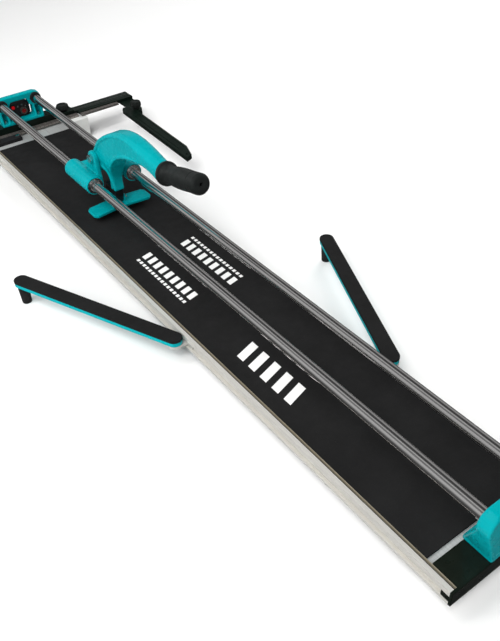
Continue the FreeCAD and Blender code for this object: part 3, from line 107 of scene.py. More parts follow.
# ---------------------------------------------------------------- node helpers
class Shader:
    """A material under construction, with short calls for the nodes it uses."""

    def __init__(self, name, base, rough=0.5, metal=0.0, **fixed):
        self.material = bpy.data.materials.new(name)
        self.material.use_nodes = True
        self.tree = self.material.node_tree
        self.bsdf = self.tree.nodes["Principled BSDF"]
        self.bsdf.inputs["Base Color"].default_value = (*base, 1)
        self.bsdf.inputs["Roughness"].default_value = rough
        self.bsdf.inputs["Metallic"].default_value = metal
        for socket, value in fixed.items():
            self.bsdf.inputs[socket.replace("_", " ")].default_value = value
        self.base = base
        self.where = self.node("ShaderNodeTexCoord").outputs["Object"]

    def node(self, kind, **values):
        made = self.tree.nodes.new(kind)
        for key, value in values.items():
            setattr(made, key, value)
        return made

    def link(self, source, target):
        self.tree.links.new(source, target)

    def stretch(self, scale):
        """Object coordinates scaled per axis."""
        mapping = self.node("ShaderNodeMapping")
        mapping.inputs["Scale"].default_value = scale
        self.link(self.where, mapping.inputs["Vector"])
        return mapping.outputs["Vector"]

    def noise(self, scale, detail=3.0, where=None):
        made = self.node("ShaderNodeTexNoise")
        made.inputs["Scale"].default_value = scale
        made.inputs["Detail"].default_value = detail
        made.inputs["Roughness"].default_value = 0.55
        self.link(where or self.where, made.inputs["Vector"])
        return made.outputs["Fac"]

    def cells(self, scale):
        made = self.node("ShaderNodeTexVoronoi")
        made.inputs["Scale"].default_value = scale
        self.link(self.where, made.inputs["Vector"])
        return made.outputs["Distance"]

    def remap(self, source, low, high, to_low, to_high):
        made = self.node("ShaderNodeMapRange")
        for socket, value in zip(("From Min", "From Max", "To Min", "To Max"), (low, high, to_low, to_high)):
            made.inputs[socket].default_value = value
        self.link(source, made.inputs["Value"])
        return made.outputs["Result"]

    def math(self, operation, first, second=None):
        made = self.node("ShaderNodeMath", operation=operation)
        for number, value in enumerate((first, second)):
            if value is None:
                continue
            if isinstance(value, (int, float)):
                made.inputs[number].default_value = value
            else:
                self.link(value, made.inputs[number])
        return made.outputs["Value"]

    def axis(self, name):
        made = self.node("ShaderNodeSeparateXYZ")
        self.link(self.where, made.inputs["Vector"])
        return made.outputs[name]

    def blend(self, factor, first, second):
        """Mix of two colours, each a colour or a socket."""
        made = self.node("ShaderNodeMix", data_type="RGBA")
        self.link(factor, made.inputs["Factor"])
        for number, value in ((6, first), (7, second)):
            if isinstance(value, (tuple, list)):
                made.inputs[number].default_value = (*value, 1)
            else:
                self.link(value, made.inputs[number])
        return made.outputs[2]

    def colour(self, source):
        self.link(source, self.bsdf.inputs["Base Color"])

    def rough(self, source):
        self.link(source, self.bsdf.inputs["Roughness"])

    def bump(self, height, strength=0.2, depth=0.0002):
        """Surface relief; later calls add to earlier ones."""
        made = self.node("ShaderNodeBump")
        made.inputs["Strength"].default_value = strength
        made.inputs["Distance"].default_value = depth
        self.link(height, made.inputs["Height"])
        target = self.bsdf.inputs["Normal"]
        if target.is_linked:
            self.link(target.links[0].from_socket, made.inputs["Normal"])
        self.link(made.outputs["Normal"], target)

    def tint(self, factor):
        """A lighter or darker tone of the base colour."""
        return tuple(min(1.0, c * factor) for c in self.base)

    def mottle(self, scale, low, high, where=None):
        """Slow tone variation over the base colour; returns the colour socket."""
        patch = self.remap(self.noise(scale, 4.0, where), 0.3, 0.7, 0.0, 1.0)
        tone = self.blend(patch, self.tint(low), self.tint(high))
        self.colour(tone)
        return tone

    def wear(self, tone, colour, start=0.56, end=0.62, scale=420):
        """Rubbed edges, where the surface is sharply convex and the noise lets it."""
        edge = self.remap(self.node("ShaderNodeNewGeometry").outputs["Pointiness"], start, end, 0.0, 1.0)
        broken = self.remap(self.noise(scale, 5.0), 0.48, 0.62, 0.0, 1.0)
        amount = self.math("MULTIPLY", edge, broken)
        self.colour(self.blend(amount, tone, colour))


# ---------------------------------------------------------------- materials
def paint(name, base, rough=0.25):
    """Glossy powder coat over a casting."""
    s = Shader(name, base, rough, Coat_Weight=0.10, Coat_Roughness=0.05, Specular_IOR_Level=0.12)
    tone = s.mottle(16, 0.93, 1.03)
    chips = s.remap(s.noise(420, 6.0), 0.74, 0.80, 0.0, 0.5)
    s.colour(s.blend(chips, tone, s.tint(0.55)))
    s.rough(s.remap(s.noise(60), 0.3, 0.7, rough - 0.05, rough + 0.07))
    s.bump(s.noise(190, 2.0), 0.03, 0.0003)
    s.bump(s.noise(1500, 2.0), 0.025, 0.0001)
    return s.material


def pad_rubber():
    """Matt work pad with a fine pebbled face."""
    s = Shader("pad_rubber", (0.0125, 0.0125, 0.0127), 0.8, Specular_IOR_Level=0.2)
    tone = s.mottle(14, 0.85, 1.15)
    dust = s.remap(s.noise(900, 4.0), 0.60, 0.78, 0.0, 0.10)
    s.colour(s.blend(dust, tone, (0.16, 0.16, 0.155)))
    s.rough(s.remap(s.noise(40), 0.3, 0.7, 0.70, 0.88))
    s.bump(s.cells(1300), 0.25, 0.0002)
    s.bump(s.noise(500, 5.0), 0.18, 0.0002)
    return s.material


def soft_grip():
    """Moulded soft grip with a faint sheen and fine texture."""
    s = Shader("grip_rubber", (0.0085, 0.0105, 0.0100), 0.5, Coat_Weight=0.06, Coat_Roughness=0.2)
    s.mottle(70, 0.8, 1.25)
    s.rough(s.remap(s.noise(110), 0.3, 0.7, 0.36, 0.52))
    s.bump(s.cells(1700), 0.22, 0.00015)
    s.bump(s.noise(90, 3.0), 0.10, 0.001)
    return s.material


def rubber():
    """Plain black rubber."""
    s = Shader("foot_rubber", (0.014, 0.014, 0.014), 0.7)
    s.mottle(90, 0.8, 1.3)
    s.rough(s.remap(s.noise(130), 0.3, 0.7, 0.6, 0.8))
    s.bump(s.noise(900, 4.0), 0.2, 0.0002)
    return s.material


def plastic(name, base, rough, coat=0.0):
    """Moulded plastic with a light spark texture."""
    s = Shader(name, base, rough, Coat_Weight=coat, Coat_Roughness=0.12, Specular_IOR_Level=0.12)
    tone = s.mottle(45, 0.85, 1.2)
    s.wear(tone, s.tint(3.0), 0.62, 0.75)
    s.rough(s.remap(s.noise(80), 0.3, 0.7, rough - 0.06, rough + 0.08))
    s.bump(s.noise(1300, 3.0), 0.12, 0.00015)
    return s.material


def chrome():
    """Polished rod with a faint lengthwise grind, in tone and gloss only."""
    rough = 0.17
    s = Shader("rail_chrome", (0.76, 0.75, 0.745), rough, 1.0)
    along = s.stretch((900, 0.8, 900))
    s.mottle(1.0, 0.93, 1.05, along)
    hair = s.noise(2.0, 4.0, along)
    s.rough(s.remap(hair, 0.35, 0.7, rough - 0.01, rough + 0.02))
    return s.material


def brushed(name, base, rough, scale=(60, 1500, 60), metal=1.0):
    """Metal with a fine directional grain."""
    s = Shader(name, base, rough, metal)
    along = s.stretch(scale)
    grain = s.noise(1.0, 5.0, along)
    tone = s.mottle(30, 0.9, 1.08)
    s.colour(s.blend(s.remap(grain, 0.35, 0.65, 0.0, 0.35), tone, s.tint(0.72)))
    s.rough(s.remap(grain, 0.3, 0.7, rough - 0.07, rough + 0.1))
    s.bump(grain, 0.08, 0.0001)
    return s.material


def bright_screw():
    """Zinc plated hardware."""
    s = Shader("bright_screw", (0.78, 0.78, 0.76), 0.2, 1.0)
    tone = s.mottle(400, 0.82, 1.05)
    s.wear(tone, (0.9, 0.9, 0.9), 0.55, 0.6)
    s.rough(s.remap(s.noise(700, 4.0), 0.3, 0.7, 0.13, 0.3))
    s.bump(s.noise(2200), 0.06, 0.0001)
    return s.material


def extrusion(rim_from, rim_to, groove_to):
    """Satin anodised profile: long die lines, a bronze rim beside the pads, the groove beside it painted
    near black as shade, and the outer lip and sides painted lighter as a sheen.
    """
    s = Shader("extrusion_aluminium", (0.60, 0.62, 0.615), 0.36, 0.45)
    along = s.stretch((700, 1.6, 900))
    lines = s.noise(1.0, 5.0, along)
    tone = s.blend(s.remap(lines, 0.35, 0.68, 0.0, 1.0), s.tint(0.88), s.tint(1.06))
    stains = s.remap(s.noise(9, 5.0), 0.52, 0.72, 0.0, 0.22)
    tone = s.blend(stains, tone, (0.50, 0.49, 0.45))
    # Painted sheen: the outer lip and side faces get a lighter, warmer copy of the aluminium tone, with the
    # random stains still mixed in.
    flank_painted_sheen = s.math("GREATER_THAN", s.math("ABSOLUTE", s.axis("X")), groove_to)
    tone = s.blend(flank_painted_sheen, tone, s.blend(stains, (0.80, 0.78, 0.73), (0.66, 0.65, 0.62)))
    side = s.math("ABSOLUTE", s.axis("X"))
    outside = s.math("GREATER_THAN", side, rim_from)
    rim = s.math("MULTIPLY", s.math("LESS_THAN", side, rim_to), outside)
    tone = s.blend(rim, tone, (0.42, 0.37, 0.27))
    # Painted shade: the groove between the rim and the outer lip is coloured near black for the shade inside
    # it.
    past = s.math("GREATER_THAN", side, rim_to)
    groove_painted_shade = s.math("MULTIPLY", s.math("LESS_THAN", side, groove_to), past)
    s.colour(s.blend(groove_painted_shade, tone, (0.030, 0.028, 0.024)))
    s.rough(s.remap(lines, 0.3, 0.7, 0.26, 0.44))
    s.bump(lines, 0.06, 0.00012)
    s.bump(s.noise(1500), 0.04, 0.0001)
    return s.material


def ridged_black():
    """Black anodised profile with a slight green cast."""
    s = Shader("black_anodised", (0.0045, 0.009, 0.0065), 0.36, 0.0, Specular_IOR_Level=0.14)
    tone = s.mottle(60, 0.75, 1.3)
    s.wear(tone, (0.10, 0.105, 0.10), 0.60, 0.72)
    s.rough(s.remap(s.noise(200), 0.3, 0.7, 0.28, 0.45))
    s.bump(s.noise(1400, 3.0), 0.08, 0.0001)
    return s.material


def rule_metal():
    """Worn rule: a dull bronze-grey strip with engraved division lines and no figures."""
    s = Shader("rule_metal", (0.30, 0.275, 0.255), 0.42, 0.75)
    tone = s.mottle(70, 0.8, 1.2)
    x = s.axis("X")
    fine = s.math("LESS_THAN", s.math("PINGPONG", x, 0.0010), 0.00022)
    coarse = s.math("LESS_THAN", s.math("PINGPONG", x, 0.0050), 0.00040)
    y_wave = s.math("LESS_THAN", s.math("PINGPONG", s.axis("Y"), 0.006), 0.0028)
    marks = s.math("MAXIMUM", s.math("MULTIPLY", fine, y_wave), coarse)
    s.colour(s.blend(marks, tone, (0.03, 0.028, 0.026)))
    s.rough(s.remap(s.noise(300, 4.0), 0.3, 0.7, 0.32, 0.55))
    s.bump(s.noise(900, 4.0), 0.12, 0.0001)
    return s.material


def coated_grey(name, base, rough=0.45):
    """Light grey coat with slight dust and fine orange peel."""
    s = Shader(name, base, rough, Coat_Weight=0.1, Coat_Roughness=0.3)
    tone = s.mottle(18, 0.92, 1.04)
    s.wear(tone, s.tint(0.6), 0.58, 0.66)
    s.rough(s.remap(s.noise(150), 0.3, 0.7, rough - 0.06, rough + 0.1))
    s.bump(s.noise(700, 3.0), 0.12, 0.0002)
    return s.material


def dark_turned():
    """Dark brown-grey turned metal."""
    s = Shader("barrel_metal", (0.16, 0.14, 0.125), 0.35, 0.8)
    s.mottle(300, 0.8, 1.2)
    s.rough(s.remap(s.noise(500), 0.3, 0.7, 0.28, 0.45))
    s.bump(s.noise(1600), 0.08, 0.0001)
    return s.material


def lens_red():
    """Red window of the laser."""
    s = Shader("lens_glass", (0.55, 0.03, 0.03), 0.05, Transmission_Weight=0.6)
    s.mottle(400, 0.85, 1.1)
    s.rough(s.remap(s.noise(600), 0.3, 0.7, 0.03, 0.09))
    return s.material


def print_white():
    """White screen print with slightly ragged coverage."""
    s = Shader("print_white", (0.82, 0.82, 0.81), 0.6)
    thin = s.remap(s.noise(1400, 5.0), 0.62, 0.75, 0.0, 0.35)
    s.colour(s.blend(thin, s.tint(1.0), (0.3, 0.3, 0.3)))
    s.rough(s.remap(s.noise(200), 0.3, 0.7, 0.5, 0.7))
    s.bump(s.noise(1200), 0.08, 0.0001)
    return s.material


TEAL = (0.0, 0.315, 0.345)
CYAN = (0.0, 0.38, 0.42)
PAD_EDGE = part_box("right_pad")[1].x
BASE_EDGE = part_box("base_extrusion")[1].x
RIM_TOP_END = 9.4 * MM
RIM_GROOVE_END = 6.4 * MM
MATERIALS = {
    "extrusion_aluminium": extrusion(PAD_EDGE, BASE_EDGE - RIM_TOP_END, BASE_EDGE - RIM_GROOVE_END),
    "pad_rubber": pad_rubber(),
    "break_bar_steel": brushed("break_bar_steel", (0.5, 0.5, 0.5), 0.32, (900, 20, 900)),
    "cap_plastic": plastic("cap_plastic", (0.006, 0.0085, 0.006), 0.3, 0.1),
    "stand_paint": coated_grey("stand_paint", (0.70, 0.71, 0.69)),
    "foot_rubber": rubber(),
    "teal_paint": paint("teal_paint", TEAL),
    "rail_chrome": chrome(),
    "bright_screw": bright_screw(),
    "bearing_steel": brushed("bearing_steel", (0.78, 0.78, 0.78), 0.25, (700, 700, 700), 0.35),
    "grip_rubber": soft_grip(),
    "tool_steel": brushed("tool_steel", (0.12, 0.12, 0.13), 0.38, (500, 500, 80)),
    "carbide": brushed("carbide", (0.5, 0.5, 0.52), 0.22, (300, 300, 300)),
    "arm_paint": paint("arm_paint", CYAN, 0.3),
    "bracket_paint": coated_grey("bracket_paint", (0.50, 0.49, 0.46)),
    "black_anodised": ridged_black(),
    "rule_metal": rule_metal(),
    "knob_plastic": plastic("knob_plastic", (0.012, 0.014, 0.013), 0.4),
    "housing_plastic": plastic("housing_plastic", (0.014, 0.014, 0.015), 0.45),
    "barrel_metal": dark_turned(),
    "lens_glass": lens_red(),
    "button_red": plastic("button_red", (0.62, 0.008, 0.012), 0.25, 0.4),
}
PRINT = print_white()


# ---------------------------------------------------------------- piece helpers
def add_piece(name, mesh, body, slot, *nodes, smooth_angle=35.0):
    """Puts a mesh in the scene as a piece of the object."""
    piece = bpy.data.objects.new(name, mesh)
    bpy.context.scene.collection.objects.link(piece)
    mesh.materials.clear()
    mesh.materials.append(MATERIALS[slot])
    mesh.polygons.foreach_set("use_smooth", [True] * len(mesh.polygons))
    if smooth_angle:
        mesh.set_sharp_from_angle(angle=math.radians(smooth_angle))
    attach(piece, body)
    if nodes:
        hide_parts(*nodes)
    return piece


def node_bmesh(node):
    """A welded copy of a CAD node's mesh, in metres."""
    bm = bmesh.new()
    bm.from_mesh(frame["nodes"][node].data)
    bmesh.ops.remove_doubles(bm, verts=bm.verts, dist=2e-6)
    return bm


def machined(node, bevel):
    """Replaces a CAD node by the same solid with its edges broken, for clean highlights."""
    bm = node_bmesh(node)
    bmesh.ops.dissolve_limit(bm, angle_limit=math.radians(0.6), verts=bm.verts, edges=bm.edges)
    sharp = [e for e in bm.edges if len(e.link_faces) == 2 and e.calc_face_angle(0) > math.radians(28.0)]
    bmesh.ops.bevel(
        bm, geom=sharp, offset=bevel * MM, offset_type="OFFSET", segments=2, profile=0.6,
        affect="EDGES", clamp_overlap=True,
    )
    mesh = bpy.data.meshes.new(node + "_fine")
    bm.to_mesh(mesh)
    bm.free()
    piece = add_piece(node + "_fine", mesh, BODY_OF[node], SLOT_OF[node], node, smooth_angle=32.0)
    normals = piece.modifiers.new("even_shading", "WEIGHTED_NORMAL")
    normals.keep_sharp = True


def blur(field, sigma):
    """Gaussian blur of a 3-D array, sigma in cells."""
    reach = int(math.ceil(sigma * 3))
    taps = np.exp(-0.5 * (np.arange(-reach, reach + 1) / sigma) ** 2)
    taps /= taps.sum()
    for axis in range(3):
        pad = [(0, 0)] * 3
        pad[axis] = (reach, reach)
        wide = np.pad(field, pad, mode="edge")
        out = np.zeros_like(field)
        for number, tap in enumerate(taps):
            cut = [slice(None)] * 3
            cut[axis] = slice(number, number + field.shape[axis])
            out += tap * wide[tuple(cut)]
        field = out
    return field


def surface(field, origin, cell, name):
    """Mesh of a field's zero level; origin and cell are in mm."""
    grid = openvdb.FloatGrid(float(field.max()))
    grid.copyFromArray(field.astype(np.float32))
    points, triangles, quads = grid.convertToPolygons(isovalue=0.0, adaptivity=0.0)
    points = (np.asarray(points) * cell + np.array(origin)) * MM
    mesh = bpy.data.meshes.new(name)
    faces = [tuple(int(i) for i in f[::-1]) for f in list(quads) + list(triangles)]
    mesh.from_pydata([tuple(p) for p in points.tolist()], [], faces)
    mesh.validate()
    return mesh


def cast(node, cell, soften):
    """Replaces a CAD node by a cast version of it: every edge and inner corner softly rounded."""
    bm = node_bmesh(node)
    bmesh.ops.triangulate(bm, faces=bm.faces)
    points = np.array([v.co[:] for v in bm.verts], np.float32) / MM
    faces = np.array([[v.index for v in f.verts] for f in bm.faces], np.uint32)
    bm.free()
    margin = 4
    low = points.min(0) - margin * cell
    shape = np.ceil((points.max(0) - points.min(0)) / cell).astype(int) + 2 * margin
    local = ((points - low) / cell).astype(np.float32)
    band = 5.0
    level = openvdb.FloatGrid.createLevelSetFromPolygons(local, triangles=faces, halfWidth=band)
    field = np.full(tuple(shape), band, np.float32)
    level.copyToArray(field)
    mesh = surface(blur(field * cell, soften / cell), low, cell, node + "_cast")
    add_piece(node + "_cast", mesh, BODY_OF[node], SLOT_OF[node], node, smooth_angle=0)


def lathe(name, profile, start, direction, body, slot, nodes, steps=96, lobes=None):
    """Turned piece: profile holds (distance along the axis, radius) in mm from start.

    lobes is (count, depth in mm, first, last): a scalloped grip between two distances.
    """
    axis = Vector(direction).normalized()
    side = axis.orthogonal().normalized()
    up = axis.cross(side)
    bm = bmesh.new()
    rings = []
    for along, radius in profile:
        ring = []
        for step in range(steps):
            a = 2 * math.pi * step / steps
            r = radius
            if lobes and lobes[2] <= along <= lobes[3]:
                r -= lobes[1] * (0.5 - 0.5 * math.cos(a * lobes[0]))
            offset = (side * math.cos(a) + up * math.sin(a)) * r + axis * along
            ring.append(bm.verts.new(Vector(start) + offset * MM))
        rings.append(ring)
    for first, second in zip(rings, rings[1:]):
        for step in range(steps):
            after = (step + 1) % steps
            bm.faces.new((first[step], first[after], second[after], second[step]))
    bm.faces.new(list(reversed(rings[0])))
    bm.faces.new(rings[-1])
    bmesh.ops.recalc_face_normals(bm, faces=bm.faces)
    mesh = bpy.data.meshes.new(name)
    bm.to_mesh(mesh)
    bm.free()
    add_piece(name, mesh, body, slot, *nodes)


def prism(bm, first, second):
    """Adds a closed block between two matching rings of corners."""
    rows = [[bm.verts.new(corner) for corner in ring] for ring in (first, second)]
    bm.faces.new(rows[0])
    bm.faces.new(list(reversed(rows[1])))
    for step in range(len(first)):
        after = (step + 1) % len(first)
        bm.faces.new((rows[0][step], rows[1][step], rows[1][after], rows[0][after]))


def arc(centre_along, centre_radius, radius, first, last, steps=6):
    """Points of a rounded corner in a lathe profile, angles in degrees from the axis."""
    points = []
    for step in range(steps + 1):
        a = math.radians(first + (last - first) * step / steps)
        points.append((centre_along + radius * math.cos(a), centre_radius + radius * math.sin(a)))
    return points


# ---------------------------------------------------------------- lever
def spline(points, per_span=10):
    """Closed smooth curve through its points (Catmull-Rom)."""
    pts = np.array(points, float)
    n = len(pts)
    out = []
    for i in range(n):
        a, b, c, d = pts[i - 1], pts[i], pts[(i + 1) % n], pts[(i + 2) % n]
        for step in range(per_span):
            t = step / per_span
            out.append(0.5 * (2 * b + (c - a) * t + (2 * a - 5 * b + 4 * c - d) * t * t
                              + (3 * b - a - 3 * c + d) * t ** 3))
    return np.array(out)


def outline_distance(outline, u, v):
    """Signed distance of every (u, v) to a closed outline, negative inside."""
    best = np.full(u.shape, 1e9, np.float32)
    inside = np.zeros(u.shape, bool)
    for a, b in zip(outline, np.roll(outline, -1, axis=0)):
        du, dv = b - a
        t = np.clip(((u - a[0]) * du + (v - a[1]) * dv) / (du * du + dv * dv + 1e-9), 0, 1)
        best = np.minimum(best, (u - a[0] - t * du) ** 2 + (v - a[1] - t * dv) ** 2)
        crosses = (a[1] > v) != (b[1] > v)
        inside ^= crosses & (u < (b[0] - a[0]) * (v - a[1]) / (b[1] - a[1] + 1e-12) + a[0])
    return np.where(inside, -1, 1) * np.sqrt(best)


def ease(value, low, high):
    """0 below low, 1 above high, smooth between."""
    t = np.clip((value - low) / (high - low), 0, 1)
    return t * t * (3 - 2 * t)


def soft_max(a, b, k):
    """Intersection of two fields with a rounded meeting line."""
    h = np.clip(0.5 - 0.5 * (a - b) / k, 0, 1)
    return a + (b - a) * h + k * h * (1 - h)


def soft_min(a, b, k):
    """Union of two fields with a filleted meeting line."""
    return -soft_max(-a, -b, k)


def lever():
    """Cast lever: domed head, raised rim, arched underside, narrow leg and a pivot boss."""
    pivot = Vector(JOINT["lever_hinge"]["pos_m"]) / MM
    half = LEVER_HALF_WIDTH
    body_outline = spline([
        (-12.5, -4), (-9, 10), (5, 28), (19, 42), (36, 54), (60, 68), (84, 78.5), (108, 86.0), (133, 89.4),
        (160, 89.4), (186, 87.6), (212, 84.5), (235, 80), (252, 77.5), (256, 62), (246, 46), (222, 50),
        (195, 53.5), (168, 52), (145, 48), (121, 42), (100, 34), (82, 23), (66, 9), (55, -6), (48, -24),
        (46, -42), (47, -56), (46, -64), (36, -65), (28, -60), (29, -42), (21, -26), (9, -16), (-4, -14.5),
    ])
    cell = 0.8
    low = np.array([-half - 4, -268.0, -72.0])
    high = np.array([half + 4, 24.0, 100.0])
    shape = np.ceil((high - low) / cell).astype(int)
    x = (low[0] + cell * np.arange(shape[0]))[:, None, None].astype(np.float32)
    y = (low[1] + cell * np.arange(shape[1]))[:, None].astype(np.float32)
    z = (low[2] + cell * np.arange(shape[2]))[None, :].astype(np.float32)
    forward = -y + 0 * z
    height = z + 0 * y
    edge = outline_distance(body_outline, forward, height).astype(np.float32)
    to_leg = ease(-height, -4.0, 34.0) * ease(forward, 8.0, 24.0)
    wide = half - 7.5 * to_leg - 1.5 * ease(forward, 150, 245)
    top = ease(height, 34.0, 74.0) * ease(forward, 25.0, 110.0)
    corner = 3.2 + 8.5 * top + 4.0 * ease(forward, 150, 230)
    corner = np.minimum(corner, wide - 1.0)
    w_x = np.abs(x) - (wide - corner)[None]
    w_e = (edge + corner)[None] + 0 * x
    outside = np.hypot(np.maximum(w_x, 0), np.maximum(w_e, 0))
    body = np.minimum(np.maximum(w_x, w_e), 0) + outside - corner[None]
    depth = 2.2 * (1 - 0.8 * ease(forward, 120, 200))
    pocket = soft_max((wide - depth)[None] - np.abs(x), (edge + 7.5)[None] + 0 * x, 2.0)
    body = soft_max(body, -pocket, 2.4)
    boss = np.maximum(np.hypot(y[None], z[None]) - LEVER_BOSS_RADIUS, np.abs(x) - half)
    body = soft_min(body, boss, 3.0)
    tilt = math.radians(LEVER_TILT)
    along = Vector((0, -math.cos(tilt), math.sin(tilt)))
    collar = Vector(COLLAR_PLACE)
    beyond = (y - collar.y) * along.y + (z - collar.z) * along.z
    body = np.maximum(body, beyond[None] + 0 * x + 0.4)
    bore = LEVER_BORE_RADIUS - np.hypot(y[None], z[None]) + 0 * x
    body = np.maximum(body, bore)
    seat = LEVER_LEG_END - z[None] + 0 * x
    body = soft_max(body, seat, 1.0)
    mesh = surface(blur(body, 0.7), low + np.array(pivot), cell, "lever_casting")
    add_piece("lever_casting", mesh, "lever", "teal_paint", "lever_body", smooth_angle=0)


def grip():
    """Soft grip: thick collar, waisted barrel with shallow rings, domed end with a vent."""
    pivot = Vector(JOINT["lever_hinge"]["pos_m"])
    tilt = math.radians(LEVER_TILT)
    along = Vector((0, -math.cos(tilt), math.sin(tilt)))
    start = pivot + Vector(COLLAR_PLACE) * MM
    length = GRIP_LENGTH
    profile = [(0.0, 10.0), (0.0, 18.8)] + arc(1.8, 19.2, 1.8, 180, 90) + arc(5.2, 19.2, 1.8, 90, 0)
    profile += [(7.6, 17.6), (9.0, 16.6), (13.0, 15.8), (20.0, 15.5), (30.0, 16.2), (42.0, 17.2)]
    profile += [(56.0, 17.9), (70.0, 17.9), (84.0, 17.5)]
    profile += [(92.0, 17.3), (92.8, 16.7), (94.2, 16.7), (95.0, 17.4)]
    profile += [(100.0, 17.6)] + arc(length - 6.0, 11.6, 6.0, 90, 12, 8) + [(length - 0.1, 10.0)]
    profile += [(length - 0.2, 6.0), (length - 0.5, 3.2), (length - 1.2, 2.6)]
    profile += [(length - 13.0, 2.5), (length - 13.0, 0.2)]
    lathe("grip_moulding", profile, start, along, "lever", "grip_rubber", ["lever_grip"], 128)


# ---------------------------------------------------------------- knobs, rails
def knob(node, name, cap):
    """Scalloped mushroom knob on a short stud; cap is its height above the seat in mm."""
    low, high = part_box(node)
    radius = (high.x - low.x) / 2 / MM
    height = (high.z - low.z) / MM
    seat = height - cap
    k = cap / 20.0
    stud = 3.9
    profile = [(0.0, stud - 0.5), (0.6, stud), (seat, stud), (seat + 0.3, stud)]
    profile += [(seat + 0.3, radius * 0.5)]
    profile += [(seat + 0.9, radius * 0.56), (seat + 6.4 * k, radius * 0.56)]
    profile += [(seat + 7.4 * k, radius * 0.66)]
    profile += [(seat + 7.6 * k, radius * 0.90)] + arc(seat + 7.6 * k + 1.8, radius - 1.9, 1.8, 180, 90)
    profile += [(seat + 12.0 * k, radius - 0.05), (seat + 14.6 * k, radius * 0.985)]
    profile += arc(seat + cap - 4.2, radius * 0.95 - 3.6, 3.6, 66, 12) + [(seat + cap - 0.4, radius * 0.55)]
    profile += [(seat + cap - 0.8, radius * 0.48), (seat + cap - 0.8, 0.2)]
    start = Vector(((low.x + high.x) / 2, (low.y + high.y) / 2, low.z))
    scallops = (9, radius * 0.11, seat + 8.0 * k, seat + 18.0 * k)
    lathe(name, profile, start, (0, 0, 1), BODY_OF[node], "knob_plastic", [node], 144, scallops)


def rail(node):
    """Polished rod with chamfered ends."""
    low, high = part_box(node)
    radius = (high.x - low.x) / 2 / MM
    length = (high.y - low.y) / MM
    chamfer = 1.2
    profile = [(0.0, 0.3), (0.0, radius - chamfer), (chamfer, radius)]
    profile += [(length - chamfer, radius), (length, radius - chamfer), (length, 0.3)]
    start = Vector(((low.x + high.x) / 2, low.y, (low.z + high.z) / 2))
    lathe(node + "_rod", profile, start, (0, 1, 0), BODY_OF[node], "rail_chrome", [node], 128)


# ---------------------------------------------------------------- print on the pads
def slanted(x0, x1, y0, y1, lean, top):
    """Corners of one printed block, leaning along the pad."""
    corners = [(x0, y0), (x1, y0 + lean), (x1, y1 + lean), (x0, y1)]
    return [Vector((x * MM, y * MM, top)) for x, y in corners]


def pad_print():
    """Plain printed marks in place of lettering: bold slanted blocks and a dashed line."""
    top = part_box("left_pad")[1].z
    blocks = []
    for number in range(5):
        y = -281.0 - number * 29.0
        blocks.append(slanted(-66.0, -28.0, y, y - 16.0, 12.0, top))
    for side, first in ((-1, 46.0), (1, -122.0)):
        for number in range(9):
            y = first + side * number * 19.0
            blocks.append(slanted(side * 48.0, side * 29.0, y, y + side * 11.5, -side * 4.0, top))
        for number in range(16):
            y = first + side * (number * 10.4 + 2.0)
            blocks.append(slanted(side * 61.0, side * 55.0, y, y + side * 6.6, 0.0, top))
    bm = bmesh.new()
    ink = Vector((0, 0, 0.06 * MM))
    for corners in blocks:
        prism(bm, corners, [corner + ink for corner in corners])
    bmesh.ops.recalc_face_normals(bm, faces=bm.faces)
    mesh = bpy.data.meshes.new("pad_print")
    bm.to_mesh(mesh)
    bm.free()
    piece = add_piece("pad_print", mesh, "base", "pad_rubber", smooth_angle=20.0)
    piece.data.materials[0] = PRINT


# ---------------------------------------------------------------- laser backing
def laser_backing():
    """Ribbed dark cover that closes the far bracket's window behind the laser box."""
    box_low, box_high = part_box("laser_housing")
    bracket_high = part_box("far_rail_bracket")[1]
    near = box_high.y + 0.2 * MM
    far = min(near + 2.0 * MM, bracket_high.y - 1.0 * MM)
    bm = bmesh.new()
    half = WINDOW_HALF_WIDTH * MM
    bottom = box_low.z + 0.4 * MM
    top = WINDOW_TOP * MM
    ribs = 13
    for number in range(ribs):
        x0 = -half + 2 * half * number / ribs
        x1 = x0 + 2 * half / ribs * 0.86
        front = [(x0, bottom), (x1, bottom), (x1, top), (x0, top)]
        prism(bm, [(x, near, z) for x, z in front], [(x, far, z) for x, z in front])
    bmesh.ops.recalc_face_normals(bm, faces=bm.faces)
    bmesh.ops.bevel(bm, geom=bm.edges[:], offset=0.3 * MM, segments=2, profile=0.6, affect="EDGES")
    mesh = bpy.data.meshes.new("laser_backing")
    bm.to_mesh(mesh)
    bm.free()
    add_piece("laser_backing", mesh, "base", "housing_plastic")


# ---------------------------------------------------------------- stage
def floor():
    """Pale studio floor at the height the rubber feet stand on."""
    level = CAD_BOX[0][2]
    bm = bmesh.new()
    signs = ((-1, -1), (1, -1), (1, 1), (-1, 1))
    bm.faces.new([bm.verts.new((x * FLOOR_REACH, y * FLOOR_REACH, level)) for x, y in signs])
    mesh = bpy.data.meshes.new("studio_floor")
    bm.to_mesh(mesh)
    bm.free()
    plane = bpy.data.objects.new("studio_floor", mesh)
    bpy.context.scene.collection.objects.link(plane)
    s = Shader("studio_floor", (0.93, 0.93, 0.925), 0.75)
    s.mottle(1.5, 0.995, 1.005)
    s.bump(s.noise(600), 0.02, 0.0002)
    mesh.materials.append(s.material)
    plane.visible_glossy = False


def area_light(name, place, target, size, power, mirrored=True):
    """Rectangular soft light aimed at a point; polished faces may or may not mirror it."""
    lamp = bpy.data.lights.new(name, "AREA")
    lamp.shape = "RECTANGLE"
    lamp.size, lamp.size_y = size
    lamp.energy = power
    holder = bpy.data.objects.new(name, lamp)
    bpy.context.scene.collection.objects.link(holder)
    holder.location = place
    holder.visible_glossy = mirrored
    aim = Vector(target) - Vector(place)
    holder.rotation_euler = aim.to_track_quat("-Z", "Y").to_euler()


